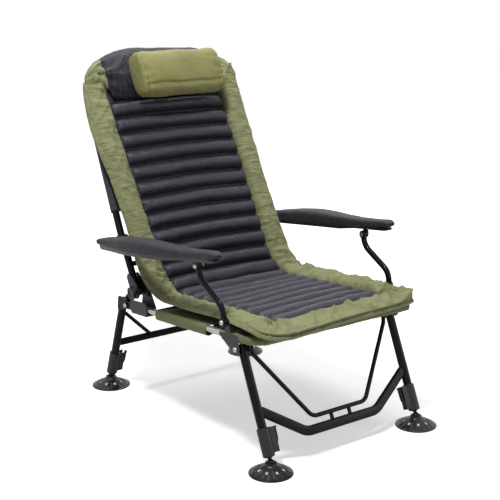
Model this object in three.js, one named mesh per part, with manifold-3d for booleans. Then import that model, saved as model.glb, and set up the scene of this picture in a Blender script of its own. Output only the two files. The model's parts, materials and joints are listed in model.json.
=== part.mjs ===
// Folding carp chair: a tubular seat frame on four folding legs with adjustable mud feet, a reclining
// backrest that carries parallel-moving armrests, a ribbed mattress over seat and back, and a pillow.
// Millimetres and degrees, +Z up. The chair faces -Y, X runs across it, and +X is the sitter's left.
import * as THREE from "three";
import { mergeVertices } from "three/addons/utils/BufferGeometryUtils.js";
import Module from "manifold-3d";

const wasm = await Module();
wasm.setup();

// Layout of the side view. "Along" runs rearwards from the front seat tube, "above" is square to it.
const seatFrontHeight = 356.4;
const seatSlopeDegrees = 4.25;
const hingeAlong = 586;
const hingeAbove = 51;
const frontPivotAlong = 86;
const frontPivotAbove = -32;
const rearPivotAlong = 671;
const rearPivotAbove = -5;
const armPivotAlong = 118;
const armPivotAbove = 40.5;
const armLinkReach = 116;
const armLinkRise = 134;
const backAngleDegrees = 28;
const frontLegDegrees = 23.4;
const rearLegDegrees = 19;
const rearLegOffset = 33.6;
const ballHeight = 28;

// Clearances.
const fitGap = 0.3;
const slideGap = 0.4;
const socketGap = 0.8;
const boltGap = 0.5;
const cutOverrun = 5;

// Layout across the chair, outwards from its middle, all of it set from the seat's width.
const seatHalfWidth = 283;
const seatTubeRadius = 9.5;
const plateThickness = 2.5;
const lockDiscThickness = 4.4;
const plateGap = 0.5;
const frontPlateInset = 27.7;
const hingePlateInset = 27;
const studReach = 5;
const backInset = 3;
const backDrawnIn = 25;
const legInset = 11.5;
const tongueInset = 7.5;
const tongueReach = 8;
const slingInset = 43;
const frontSleeveInset = 49;
const supportReach = 12;
const armReach = 4;
const padReach = 7;
const braceInset = 27.5;
const stayInset = 7.5;
const outerPlateX = seatHalfWidth + seatTubeRadius + plateGap;
const frontInnerPlateX = seatHalfWidth - frontPlateInset;
const hingeInnerPlateX = seatHalfWidth - hingePlateInset;
const lockDiscX = hingeInnerPlateX + plateThickness + fitGap;
const backInnerPlateX = lockDiscX + lockDiscThickness + fitGap;
const studInnerX = hingeInnerPlateX - studReach;
const backHalfWidth = seatHalfWidth - backInset;
const backTopHalf = backHalfWidth - backDrawnIn;
const legHalfSpan = seatHalfWidth - legInset;
const tongueInnerX = legHalfSpan - tongueInset;
const tongueOuterX = legHalfSpan + tongueReach;
const slingInnerHalf = seatHalfWidth - slingInset;
const frontSleeveHalf = seatHalfWidth - frontSleeveInset;
const supportX = outerPlateX + supportReach;
const armInnerX = outerPlateX + armReach;
const padHalfWidth = seatHalfWidth + padReach;
const braceTopX = legHalfSpan - braceInset;
const stayTopHalf = legHalfSpan - stayInset;

// Seat frame.
const seatTubeWall = 1.5;
const seatTubeEnd = 602;
const seatCornerRadius = 45;
const seatCrossAlong = 500;
const seatCrossRadius = 8;
const sleeveWall = 2.2;
const slingThickness = 2;
const sideSleeveStart = 226;
const sideSleeveEnd = 486;
const cornerSleeveStart = 50;
const cornerSleeveEnd = 66;

// Backrest frame.
const backTubeRadius = 11;
const backTubeWall = 1.5;
const backTubeBehind = 16;
const backTubeBelow = 8;
const backTubeTop = 740;
const backTaperStart = 205;
const backTaperBend = 400;
const backCornerRadius = 150;
const backCrossUp = 92;
const backCrossRadius = 8;
const backSlingStart = 262;
const backSlingEnd = backTubeTop - backCornerRadius;

// Plates, pivots and fasteners.
const lockDiscRadius = 17;
const lockToothDepth = 1.5;
const boltRadius = 4;
const boltHeadRadius = 7.5;
const boltHeadHeight = 4.5;
const thinNutHeight = 1.2;
const nutRimShare = 0.85;
const nutShoulderShare = 0.7;
const headShoulderShare = 0.6;
const headTopShare = 0.6;
const eyeRadius = 12;
const webGap = 1;

// Front bracket, seen from the side, in along and above values.
const frontBracketFront = 72;
const frontBracketRear = 158;
const frontBracketTop = 8;
const frontBracketCorner = 6;
const frontBracketFoot = 16;
const armEarRadius = 11;

// Hinge bracket on the seat and back bracket on the backrest.
const hingeBracketFront = 532;
const hingeBracketRear = 622;
const hingeBracketBottom = -18;
const hingeBracketLip = 24;
const hingeCorner = 7;
const hingeEarRadius = 20;
const tongueStart = 616;
const tongueGap = 0.45;
const backPlateRadius = 21;
const backPlateUp = 50;
const backPlateTipRadius = 14;
const backWebStart = 10;

// Recline knob.
const knobRadius = 22;
const knobLobes = 6;
const knobLobeDepth = 2.4;
const knobThickness = 16;
const knobHubRadius = 11;
const knobHubHeight = 4;
const knobEdge = 2.5;
const studRadius = 4;

// Legs.
const legTubeRadius = 12.5;
const legTubeWall = 1.6;
const frontLegStub = 11;
const rearLegStub = 2;
const crossbarHeight = 28;
const crossbarThickness = 15;
const crossbarLowShare = 0.475;
const crossbarClampGap = 50;
const crossbarLowDownShare = 0.835;
const crossbarBend = 60;
const braceRadius = 6.25;
const braceTopRun = 20;
const braceLowShare = 0.361;
const braceLowDownShare = 0.7245;
const braceBend = 34;
const clipHalfSpan = 33;
const clipWidth = 12;
const clipDepth = 8;
const rearBarHeight = 25;
const rearBarThickness = 12;
const rearBarDownShare = 0.555;
const staySpanShare = 0.516;
const stayTopDown = 50;
const stayWidth = 12;
const stayThickness = 8;
const legEarPlate = 2.7;
const legEarSink = 0.2;
const legEarLobe = 13;
const legEarDown = 30;

// Leg clamp and its lever, measured up the leg from the centre of the foot's ball.
const clampStart = 18;
const clampLength = 78;
const clampRadius = 17;
const clampChamfer = 2.5;
const clampSeat = 40;
const clampBlockReach = 33;
const clampBlockHalf = 9;
const clampBlockStart = 26;
const clampBlockEnd = 94;
const leverPinUp = 36;
const leverPinReach = 26;
const leverPinRadius = 2.5;
const leverCamRadius = 6;
const leverHalfWidth = 6;
const leverSlotGap = 0.5;
const leverThickness = 3.5;
const leverMidReach = 38;
const leverMidUp = 58;
const leverTipReach = 39;
const leverTipUp = 88;
const leverTipCurl = 3.2;

// Leg extension and mud foot.
const extensionRadius = 10;
const extensionWall = 1.6;
const extensionInside = 150;
const extensionPlug = 26;
const extensionShoulder = 19;
const neckRadius = 8.5;
const neckUp = 16;
const stemRadius = 5.5;
const ballRadius = 12;
const footRadius = 61;
const footRim = 4;
const footEdge = 3.5;
const socketWall = 4;
const socketTop = 3.5;
const domeRadius = 19;
const domeHeight = 23;
const dishMidRadius = 42;
const dishMidHeight = 13.5;
const hollowHeight = 9;

// Armrests and their supports.
const armSlopeDegrees = 6.5;
const supportWidth = 15;
const supportDepth = 19;
const supportBend = 45;
const supportEndReach = 9;
const armFrontAhead = 118;
const armRearBehind = 516;
const armPlaneAbove = 25;
const armFrontWidth = 38;
const armWideWidth = 70;
const armRearWidth = 44;
const armPadThickness = 21;
const armPadHump = 17;
const armPadDrop = 22;
const trayDepth = 15;
const trayFrontDepth = 9;
const trayInset = 4;
const trayStepAlong = 110;
const lugThickness = 4;
const lugRadius = 10;
const rearPinRadius = 4.5;
const pivotBlockHalf = 11;
const pivotBlockWall = 4;
const openPivotGap = 1;

// Mattress and pillow.
const padHalfThickness = 25;
const seatPadAbove = 36.8;
const backPadAhead = 32;
const padBendRadius = 150;
const padFrontAhead = 38;
const padBackTop = 790;
const padBorder = 78;
const ribPitch = 53;
const ribDepth = 9;
const seamDepth = 7;
const padCrown = 3;
const frontCornerRadius = 62;
const topCornerAcross = 150;
const topCornerDown = 95;
const padSplitGap = 0.4;
const padPinch = 5;
const pillowHalfWidth = 153.5;
const pillowHalfHeight = 74;
const pillowHalfThickness = 42;
const pillowUp = 654;
const pillowOffset = 12;
const pillowGap = 0.4;
const pillowThinShare = 0.25;
const pillowWaistShare = 0.94;
const pillowCornerShare = 0.86;
const pillowEndPower = 5;
const pillowEdgePower = 4;

// Counts and tolerances.
const mergeDistance = 1e-4;
const straightTolerance = 1e-9;
const barSides = 3;
const braceSides = 4;
const hexSides = 6;
const pointsPerLobe = 6;
const trayCells = 4;
const pillowCellsAcross = 8;
const pillowCellsUp = 6;
const tubeSides = 6;
const boltSides = 8;
const roundSides = 16;
const bendSteps = 4;
const hullSteps = 10;

// Finishes.
const finishes = {
  blackGloss: { color: 0x15161a, roughness: 0.28, metalness: 0.1 },
  darkSatin: { color: 0x2b2c30, roughness: 0.45, metalness: 0.2 },
  greySteel: { color: 0x5b5d61, roughness: 0.42, metalness: 0.8 },
  silver: { color: 0xb9bcc0, roughness: 0.3, metalness: 0.95 },
  blackPlastic: { color: 0x1b1b1e, roughness: 0.38, metalness: 0 },
  greyPlastic: { color: 0x3d3f45, roughness: 0.5, metalness: 0 },
  charcoalFoam: { color: 0x35363c, roughness: 0.8, metalness: 0 },
  charcoalCloth: { color: 0x22232b, roughness: 0.85, metalness: 0 },
  oliveCloth: { color: 0x5f6340, roughness: 0.85, metalness: 0 },
  pillowCloth: { color: 0x5a6225, roughness: 0.85, metalness: 0 },
};

// Places in the side view.
const radians = THREE.MathUtils.degToRad;
const sideAxis = new THREE.Vector3(1, 0, 0);
const seatTurn = -radians(seatSlopeDegrees);
const backTurn = -radians(backAngleDegrees);

function turned(y, z, angle) {
  return {
    y: y * Math.cos(angle) - z * Math.sin(angle),
    z: y * Math.sin(angle) + z * Math.cos(angle),
  };
}

function seatPoint(along, above) {
  const p = turned(along, above, seatTurn);
  return { y: p.y, z: p.z + seatFrontHeight };
}

const hinge = seatPoint(hingeAlong, hingeAbove);

// A place on the backrest: "up" runs along it from the hinge, "ahead" is square to it, forwards.
function backPoint(up, ahead) {
  const p = turned(-ahead, up, backTurn);
  return { y: hinge.y + p.y, z: hinge.z + p.z };
}

const armPivot = seatPoint(armPivotAlong, armPivotAbove);
const armFrontPivot = { y: armPivot.y + armLinkReach, z: armPivot.z + armLinkRise };
const armRearPivot = { y: hinge.y + armLinkReach, z: hinge.z + armLinkRise };
const frontPivot = seatPoint(frontPivotAlong, frontPivotAbove);
const rearPivot = seatPoint(rearPivotAlong, rearPivotAbove);

// Solids.
function solidOf(geometry) {
  const plain = geometry.clone();
  plain.deleteAttribute("normal");
  plain.deleteAttribute("uv");
  const merged = mergeVertices(plain, mergeDistance);
  return new wasm.Manifold(
    new wasm.Mesh({
      numProp: 3,
      vertProperties: merged.attributes.position.array,
      triVerts: new Uint32Array(merged.index.array),
    }),
  );
}

function geometryOf(solid) {
  const mesh = solid.getMesh();
  const geometry = new THREE.BufferGeometry();
  geometry.setAttribute("position", new THREE.BufferAttribute(mesh.vertProperties, 3));
  geometry.setIndex(new THREE.BufferAttribute(mesh.triVerts, 1));
  const faceted = geometry.toNonIndexed();
  faceted.computeVertexNormals();
  return faceted;
}

function join(...geometries) {
  return geometryOf(geometries.map(solidOf).reduce((whole, next) => whole.add(next)));
}

function cut(geometry, ...tools) {
  return geometryOf(tools.map(solidOf).reduce((whole, next) => whole.subtract(next), solidOf(geometry)));
}

// A route of straight runs and round bends in one plane, stepped only where it bends. The section's
// first axis stays square to that plane.
class BentRoute extends THREE.Curve {
  constructor(corners, bendRadii, square) {
    super();
    this.square = square;
    this.stations = [];
    const heading = (i) => corners[i + 1].clone().sub(corners[i]).normalize();
    this.addStation(corners[0], heading(0));
    for (let i = 1; i < corners.length - 1; i++) {
      this.addBend(corners[i], heading(i - 1), heading(i), bendRadii[i - 1]);
    }
    this.addStation(corners[corners.length - 1], heading(corners.length - 2));
  }

  addStation(point, tangent) {
    this.stations.push({ point: point.clone(), tangent: tangent.clone() });
  }

  addBend(corner, before, after, radius) {
    const turn = before.angleTo(after);
    const inward = after.clone().addScaledVector(before, -Math.cos(turn)).normalize();
    const start = corner.clone().addScaledVector(before, -radius * Math.tan(turn / 2));
    for (let step = 0; step <= bendSteps; step++) {
      const angle = (turn * step) / bendSteps;
      const point = start
        .clone()
        .addScaledVector(before, radius * Math.sin(angle))
        .addScaledVector(inward, radius * (1 - Math.cos(angle)));
      const tangent = before.clone().multiplyScalar(Math.cos(angle)).addScaledVector(inward, Math.sin(angle));
      this.addStation(point, tangent);
    }
  }

  getPoint(t) {
    const place = t * (this.stations.length - 1);
    const index = Math.min(Math.floor(place), this.stations.length - 2);
    return this.stations[index].point.clone().lerp(this.stations[index + 1].point, place - index);
  }

  getPointAt(t) {
    return this.getPoint(t);
  }

  computeFrenetFrames() {
    return {
      tangents: this.stations.map((s) => s.tangent),
      normals: this.stations.map(() => this.square),
      binormals: this.stations.map((s) => s.tangent.clone().cross(this.square)),
    };
  }
}

function discShape(radius) {
  const shape = new THREE.Shape();
  shape.absarc(0, 0, radius, 0, Math.PI * 2);
  return shape;
}

function ringShape(radius, wall) {
  const shape = discShape(radius);
  shape.holes.push(discShape(radius - wall));
  return shape;
}

// A bar section with round ends, its long side along the section's second axis.
function flatOvalShape(width, depth, wall) {
  const outline = (w, d) => {
    const shape = new THREE.Shape();
    const run = d / 2 - w / 2;
    shape.moveTo(w / 2, -run);
    shape.lineTo(w / 2, run);
    shape.absarc(0, run, w / 2, 0, Math.PI);
    shape.lineTo(-w / 2, -run);
    shape.absarc(0, -run, w / 2, Math.PI, Math.PI * 2);
    return shape;
  };
  const shape = outline(width, depth);
  if (wall) {
    shape.holes.push(outline(width - 2 * wall, depth - 2 * wall));
  }
  return shape;
}

function along(route, section, curveSegments = tubeSides) {
  return new THREE.ExtrudeGeometry(section, {
    steps: route.stations.length - 1,
    extrudePath: route,
    curveSegments,
  });
}

// A straight or bent tube through points given as [x, y, z].
function tube(points, bendRadius, square, section, curveSegments) {
  const corners = points.map((p) => new THREE.Vector3(...p));
  const radii = Array.isArray(bendRadius) ? bendRadius : corners.map(() => bendRadius);
  return along(new BentRoute(corners, radii, square), section, curveSegments);
}

// The outline round a set of circles [y, z, radius], as a plate with round corners has.
function hullShape(circles) {
  const points = [];
  for (const [y, z, radius] of circles) {
    for (let i = 0; i < hullSteps; i++) {
      const angle = (i * Math.PI * 2) / hullSteps;
      points.push([y + radius * Math.cos(angle), z + radius * Math.sin(angle)]);
    }
  }
  points.sort((a, b) => a[0] - b[0] || a[1] - b[1]);
  const turn = (o, a, b) => (a[0] - o[0]) * (b[1] - o[1]) - (a[1] - o[1]) * (b[0] - o[0]);
  const chain = (list) => {
    const kept = [];
    for (const p of list) {
      while (kept.length > 1 && turn(kept[kept.length - 2], kept[kept.length - 1], p) <= straightTolerance) {
        kept.pop();
      }
      kept.push(p);
    }
    return kept.slice(0, -1);
  };
  const outline = [...chain(points), ...chain([...points].reverse())];
  return new THREE.Shape(outline.map((p) => new THREE.Vector2(...p)));
}

// A flat piece drawn in the side view, standing from x = start over its thickness.
function sidePlate(shape, start, thickness, curveSegments = tubeSides) {
  const geometry = new THREE.ExtrudeGeometry(shape, { depth: thickness, bevelEnabled: false, curveSegments });
  geometry.applyMatrix4(
    new THREE.Matrix4().makeBasis(
      new THREE.Vector3(0, 1, 0),
      new THREE.Vector3(0, 0, 1),
      new THREE.Vector3(1, 0, 0),
    ),
  );
  return geometry.translate(start, 0, 0);
}

// A round bar or hole along X at a place of the side view.
function crossPin(place, radius, startX, endX) {
  const geometry = new THREE.CylinderGeometry(radius, radius, endX - startX, boltSides);
  geometry.rotateZ(-Math.PI / 2);
  return geometry.translate((startX + endX) / 2, place.y, place.z);
}

// A pivot bolt along X: its shank with a nut inside and a domed head outside.
function pivotBolt(place, innerX, outerX, nutHeight = boltHeadHeight) {
  const profile = [
    [0, innerX - nutHeight],
    [boltHeadRadius * nutRimShare, innerX - nutHeight],
    [boltHeadRadius, innerX - nutHeight * nutShoulderShare],
    [boltHeadRadius, innerX],
    [boltRadius, innerX],
    [boltRadius, outerX],
    [boltHeadRadius, outerX],
    [boltHeadRadius, outerX + boltHeadHeight * headShoulderShare],
    [boltHeadRadius * headTopShare, outerX + boltHeadHeight],
    [0, outerX + boltHeadHeight],
  ];
  const geometry = lathe(profile, boltSides);
  geometry.applyMatrix4(
    new THREE.Matrix4().makeBasis(
      new THREE.Vector3(0, 1, 0),
      new THREE.Vector3(0, 0, 1),
      new THREE.Vector3(1, 0, 0),
    ),
  );
  return geometry.translate(0, place.y, place.z);
}

// A turned piece about Z from a profile of [radius, height], listed upwards along its outside.
function lathe(profile, segments) {
  const points = profile.map((p) => new THREE.Vector2(...p));
  return new THREE.LatheGeometry(points, segments).rotateX(Math.PI / 2);
}

function box(xs, ys, zs) {
  const geometry = new THREE.BoxGeometry(xs[1] - xs[0], ys[1] - ys[0], zs[1] - zs[0]);
  return geometry.translate((xs[0] + xs[1]) / 2, (ys[0] + ys[1]) / 2, (zs[0] + zs[1]) / 2);
}

// A piece drawn with along and above taken as Y and Z, laid on the slope of the seat.
function onSeat(geometry) {
  return geometry.rotateX(seatTurn).translate(0, 0, seatFrontHeight);
}

// A piece drawn with up as Z and behind as Y from the hinge, laid on the lean of the backrest.
function onBack(geometry) {
  return geometry.rotateX(backTurn).translate(0, hinge.y, hinge.z);
}

const chair = new THREE.Group();

function add(holder, name, geometry, finish) {
  const mesh = new THREE.Mesh(geometry, new THREE.MeshStandardMaterial(finishes[finish]));
  mesh.name = name;
  holder.add(mesh);
  return mesh;
}

// Both sides of the chair: the left is drawn, the right is its mirror image.
const sides = ["left", "right"].map((side) => {
  const group = new THREE.Group();
  group.scale.x = side === "left" ? 1 : -1;
  chair.add(group);
  return { side, group };
});

function addPair(stem, geometry, finish) {
  for (const { side, group } of sides) {
    add(group, stem + "_" + side, geometry, finish);
  }
}

// Seat frame: one bent tube, open at its rear ends, and a cross tube between its sides.
function addSeatFrame() {
  const corner = (x, s) => [x, s, 0];
  const frame = tube(
    [
      corner(-seatHalfWidth, seatTubeEnd),
      corner(-seatHalfWidth, 0),
      corner(seatHalfWidth, 0),
      corner(seatHalfWidth, seatTubeEnd),
    ],
    seatCornerRadius,
    new THREE.Vector3(0, 0, 1),
    ringShape(seatTubeRadius, seatTubeWall),
  );
  add(chair, "seat_frame_tube", onSeat(frame), "silver");
  const reach = seatHalfWidth - seatTubeRadius - fitGap;
  const cross = tube(
    [
      [-reach, seatCrossAlong, 0],
      [reach, seatCrossAlong, 0],
    ],
    0,
    new THREE.Vector3(0, 0, 1),
    ringShape(seatCrossRadius, seatTubeWall),
  );
  add(chair, "seat_cross_tube", onSeat(cross), "silver");
}

// A sheet hung between two tubes, with a sleeve round each: the section, drawn across and above.
function slungSection(halfSpan, tubeRadius) {
  const outer = tubeRadius + slideGap + sleeveWall;
  const dip = Math.asin(slingThickness / 2 / outer);
  const shape = new THREE.Shape();
  shape.absarc(halfSpan, 0, outer, -Math.PI + dip, Math.PI - dip);
  shape.absarc(-halfSpan, 0, outer, dip, Math.PI * 2 - dip);
  for (const x of [halfSpan, -halfSpan]) {
    const hole = new THREE.Path();
    hole.absarc(x, 0, tubeRadius + slideGap, 0, Math.PI * 2);
    shape.holes.push(hole);
  }
  return shape;
}

// Seat sling: sleeved on the side tubes and on the front tube, flat between them.
function addSeatSling() {
  const slung = (start, end) =>
    new THREE.ExtrudeGeometry(slungSection(seatHalfWidth, seatTubeRadius), {
      depth: end - start,
      bevelEnabled: false,
      curveSegments: tubeSides,
    })
      .rotateX(Math.PI / 2)
      .translate(0, end, 0);
  const outer = seatTubeRadius + slideGap + sleeveWall;
  const frontSleeve = sidePlate(discShape(outer), -frontSleeveHalf, 2 * frontSleeveHalf);
  const frontBore = sidePlate(
    discShape(seatTubeRadius + slideGap),
    -frontSleeveHalf - cutOverrun,
    2 * (frontSleeveHalf + cutOverrun),
  );
  const sheet = box(
    [-slingInnerHalf, slingInnerHalf],
    [seatTubeRadius + slideGap + sleeveWall / 2, sideSleeveStart + cutOverrun],
    [-slingThickness / 2, slingThickness / 2],
  );
  const corners = cut(
    slung(cornerSleeveStart, cornerSleeveEnd),
    box(
      [-slingInnerHalf + cutOverrun, slingInnerHalf - cutOverrun],
      [0, cornerSleeveEnd + cutOverrun],
      [-outer, outer],
    ),
  );
  const bored = cut(frontSleeve, frontBore);
  const sling = join(slung(sideSleeveStart, sideSleeveEnd), sheet, bored, corners);
  add(chair, "seat_sling", onSeat(sling), "oliveCloth");
}

// Front brackets: two plates across the seat tube with a web under it, an eye for the leg's bolt below
// and an ear for the arm support above.
function addFrontBrackets() {
  const tubeLine = [
    [frontBracketFront + frontBracketCorner, frontBracketTop - frontBracketCorner, frontBracketCorner],
    [frontBracketRear - frontBracketCorner, frontBracketTop - frontBracketCorner, frontBracketCorner],
  ];
  const body = hullShape([...tubeLine, [frontPivotAlong, frontPivotAbove, frontBracketFoot]]);
  const ear = hullShape([
    [armPivotAlong, armPivotAbove, armEarRadius],
    [armPivotAlong, frontBracketTop - 2 * frontBracketCorner, armEarRadius],
  ]);
  const webTop = -seatTubeRadius - webGap;
  const web = box(
    [frontInnerPlateX, outerPlateX + plateThickness],
    [frontBracketFront + frontBracketCorner, frontBracketRear - 2 * frontBracketCorner],
    [webTop - plateThickness, webTop],
  );
  const pivotAt = { y: frontPivotAlong, z: frontPivotAbove };
  const armAt = { y: armPivotAlong, z: armPivotAbove };
  const bracket = cut(
    join(
      sidePlate(body, outerPlateX, plateThickness),
      sidePlate(body, frontInnerPlateX, plateThickness),
      sidePlate(ear, outerPlateX, plateThickness),
      web,
    ),
    crossPin(pivotAt, boltRadius + boltGap, frontInnerPlateX - cutOverrun, outerPlateX + 2 * cutOverrun),
    crossPin(armAt, boltRadius + boltGap, outerPlateX - cutOverrun, outerPlateX + 2 * cutOverrun),
  );
  addPair("front_bracket", onSeat(bracket), "greySteel");
}

// Hinge brackets: a channel under the rear end of the seat tube, whose inner wall rises to the recline
// hinge and whose tongue reaches back to the rear leg's bolt.
function addHingeBrackets() {
  const low = hingeBracketBottom + hingeCorner;
  const high = hingeBracketLip - hingeCorner;
  const front = hingeBracketFront + hingeCorner;
  const rear = hingeBracketRear - hingeCorner;
  const wall = [
    [front, low, hingeCorner],
    [rear, low, hingeCorner],
    [front, high, hingeCorner],
    [rear, high, hingeCorner],
  ];
  const inner = hullShape([
    [front, low, hingeCorner],
    [rear, low, hingeCorner],
    [hingeAlong, hingeAbove, hingeEarRadius],
  ]);
  const tongue = hullShape([
    [tongueStart, rearPivotAbove, eyeRadius - tongueGap],
    [rearPivotAlong, rearPivotAbove, eyeRadius],
  ]);
  const web = box(
    [hingeInnerPlateX, outerPlateX + plateThickness],
    [front - hingeCorner / 2, rear + hingeCorner / 2],
    [hingeBracketBottom, hingeBracketBottom + plateThickness],
  );
  const hingeAt = { y: hingeAlong, z: hingeAbove };
  const rearAt = { y: rearPivotAlong, z: rearPivotAbove };
  const bracket = cut(
    join(
      sidePlate(hullShape(wall), outerPlateX, plateThickness),
      sidePlate(inner, hingeInnerPlateX, plateThickness),
      sidePlate(tongue, tongueInnerX, plateThickness),
      sidePlate(tongue, tongueOuterX, plateThickness),
      web,
    ),
    crossPin(hingeAt, studRadius + boltGap, hingeInnerPlateX - cutOverrun, backInnerPlateX),
    crossPin(rearAt, boltRadius + boltGap, hingeInnerPlateX, outerPlateX),
  );
  addPair("hinge_bracket", onSeat(bracket), "greySteel");

  const teeth = new THREE.Shape();
  const toothCount = 24;
  for (let i = 0; i < 2 * toothCount; i++) {
    const radius = lockDiscRadius - (i % 2) * lockToothDepth;
    const angle = (i * Math.PI) / toothCount;
    const point = [radius * Math.cos(angle), radius * Math.sin(angle)];
    if (i) {
      teeth.lineTo(...point);
    } else {
      teeth.moveTo(...point);
    }
  }
  teeth.closePath();
  teeth.holes.push(discShape(studRadius + boltGap));
  const disc = sidePlate(teeth, lockDiscX, lockDiscThickness);
  addPair("lock_disc", disc.translate(0, hinge.y, hinge.z), "blackPlastic");
}

// Recline knobs: a lobed head on a threaded stud that is the backrest's hinge pin.
function addKnobs() {
  const star = new THREE.Shape();
  const points = pointsPerLobe * knobLobes;
  for (let i = 0; i < points; i++) {
    const angle = (i * Math.PI * 2) / points;
    const radius = knobRadius - knobEdge - (knobLobeDepth * (1 - Math.cos(knobLobes * angle))) / 2;
    const point = [radius * Math.cos(angle), radius * Math.sin(angle)];
    if (i) {
      star.lineTo(...point);
    } else {
      star.moveTo(...point);
    }
  }
  star.closePath();
  const head = new THREE.ExtrudeGeometry(star, {
    depth: knobThickness - 2 * knobEdge,
    bevelThickness: knobEdge,
    bevelSize: knobEdge,
    bevelSegments: 1,
  });
  const hub = new THREE.CylinderGeometry(knobHubRadius, knobHubRadius, knobHubHeight + knobEdge, roundSides);
  hub.rotateX(Math.PI / 2).translate(0, 0, -knobEdge - knobHubHeight / 2 + knobEdge / 2);
  const knob = join(head, hub);
  knob.applyMatrix4(
    new THREE.Matrix4().makeBasis(
      new THREE.Vector3(0, 1, 0),
      new THREE.Vector3(0, 0, 1),
      new THREE.Vector3(1, 0, 0),
    ),
  );
  const seat = outerPlateX + plateThickness + fitGap + knobHubHeight + knobEdge;
  knob.translate(seat, 0, 0);
  const stud = crossPin({ y: 0, z: 0 }, studRadius, studInnerX, seat);
  const nut = new THREE.CylinderGeometry(boltHeadRadius, boltHeadRadius, boltHeadHeight, hexSides);
  nut.rotateZ(Math.PI / 2).translate(hingeInnerPlateX - fitGap - boltHeadHeight / 2, 0, 0);
  addPair("recline_knob", join(knob, stud, nut).translate(0, hinge.y, hinge.z), "blackPlastic");
}

// How far in from its foot a side of the backrest frame stands at a height.
function backTaper(up) {
  const share = THREE.MathUtils.clamp((up - backTaperStart) / (backTubeTop - backTaperStart), 0, 1);
  return share * (backHalfWidth - backTopHalf);
}

// Backrest frame: one bent tube, drawn in towards its top, with a cross tube near its foot.
function addBackFrame() {
  const square = new THREE.Vector3(0, 1, 0);
  const corner = (x, up) => [x, backTubeBehind, up];
  const frame = tube(
    [
      corner(-backHalfWidth, -backTubeBelow),
      corner(-backHalfWidth, backTaperStart),
      corner(-backTopHalf, backTubeTop),
      corner(backTopHalf, backTubeTop),
      corner(backHalfWidth, backTaperStart),
      corner(backHalfWidth, -backTubeBelow),
    ],
    [backTaperBend, backCornerRadius, backCornerRadius, backTaperBend],
    square,
    ringShape(backTubeRadius, backTubeWall),
  );
  add(chair, "back_frame_tube", onBack(frame), "blackGloss");
  const reach = backHalfWidth - backTubeRadius - fitGap;
  const cross = tube(
    [corner(-reach, backCrossUp), corner(reach, backCrossUp)],
    0,
    square,
    ringShape(backCrossRadius, backTubeWall),
  );
  add(chair, "back_cross_tube", onBack(cross), "blackGloss");
  const sling = new THREE.ExtrudeGeometry(slungSection(backHalfWidth, backTubeRadius), {
    depth: backSlingEnd - backSlingStart,
    bevelEnabled: false,
    curveSegments: tubeSides,
  }).translate(0, backTubeBehind, backSlingStart);
  const position = sling.attributes.position;
  for (let i = 0; i < position.count; i++) {
    const x = position.getX(i);
    position.setX(i, x - Math.sign(x) * backTaper(position.getZ(i)));
  }
  add(chair, "back_sling", onBack(sling), "charcoalCloth");
}

// Back brackets: two plates and a rear web round the foot of the back tube, turning on the knob's stud.
function addBackBrackets() {
  const webFront = backTubeBehind + backTubeRadius + fitGap;
  const plate = hullShape([
    [0, 0, backPlateRadius],
    [webFront + plateThickness - backPlateTipRadius, backWebStart, backPlateTipRadius],
    [webFront + plateThickness - backPlateTipRadius, backPlateUp, backPlateTipRadius],
  ]);
  const web = box(
    [backInnerPlateX, outerPlateX + plateThickness],
    [webFront, webFront + plateThickness],
    [backWebStart, backPlateUp],
  );
  const bracket = cut(
    join(
      sidePlate(plate, backInnerPlateX, plateThickness),
      sidePlate(plate, outerPlateX, plateThickness),
      web,
    ),
    crossPin({ y: 0, z: 0 }, studRadius + boltGap, lockDiscX, outerPlateX + 2 * cutOverrun),
  );
  addPair("back_bracket", onBack(bracket), "greySteel");
}

// Pivot blocks: clamped round the back tube, with the pin that each armrest turns on.
function addPivotBlocks() {
  const pin = turned(armLinkReach, armLinkRise, -backTurn);
  const innerX = backHalfWidth - backTubeRadius - pivotBlockWall;
  const outerX = outerPlateX - fitGap;
  const body = hullShape([
    [backTubeBehind, pin.z, pivotBlockHalf + pivotBlockWall],
    [pin.y, pin.z, pivotBlockHalf - pivotBlockWall / 2],
  ]);
  const bore = new THREE.CylinderGeometry(
    backTubeRadius + fitGap,
    backTubeRadius + fitGap,
    4 * pivotBlockHalf,
    roundSides,
  );
  bore.rotateX(Math.PI / 2).translate(backHalfWidth, backTubeBehind, pin.z);
  const block = join(
    cut(sidePlate(body, innerX, outerX - innerX), bore),
    crossPin(pin, rearPinRadius, outerX - pivotBlockWall, armInnerX - fitGap),
  );
  addPair("armrest_pivot_block", onBack(block), "blackPlastic");
}

// Legs. Each is drawn hanging straight down from its bolt, then swung to its standing angle.
const crossbarLowHalf = legHalfSpan * crossbarLowShare;
const braceLowHalf = legHalfSpan * braceLowShare;
const stayHalfSpan = legHalfSpan * staySpanShare;
const frontLegTurn = -radians(frontLegDegrees);
const rearLegTurn = radians(rearLegDegrees);
const frontLegLength = (frontPivot.z - ballHeight) / Math.cos(frontLegTurn);
const rearLegLength =
  (rearPivot.z + rearLegOffset * Math.sin(rearLegTurn) - ballHeight) / Math.cos(rearLegTurn);

const crossbarEndDown = frontLegLength - clampStart - clampLength - crossbarClampGap;
const crossbarLowDown = frontLegLength * crossbarLowDownShare;
const braceLowDown = frontLegLength * braceLowDownShare;
const rearBarDown = rearLegLength * rearBarDownShare;

const legs = [
  { end: "front", pivot: frontPivot, turn: frontLegTurn, length: frontLegLength, offset: 0 },
  { end: "rear", pivot: rearPivot, turn: rearLegTurn, length: rearLegLength, offset: rearLegOffset },
];

function onLeg(leg, geometry) {
  return geometry.rotateX(leg.turn).translate(0, leg.pivot.y, leg.pivot.z);
}

function legCylinder(leg, radius, length) {
  const geometry = new THREE.CylinderGeometry(radius, radius, length, roundSides);
  return geometry.rotateX(Math.PI / 2).translate(legHalfSpan, leg.offset, -length / 2);
}

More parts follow.
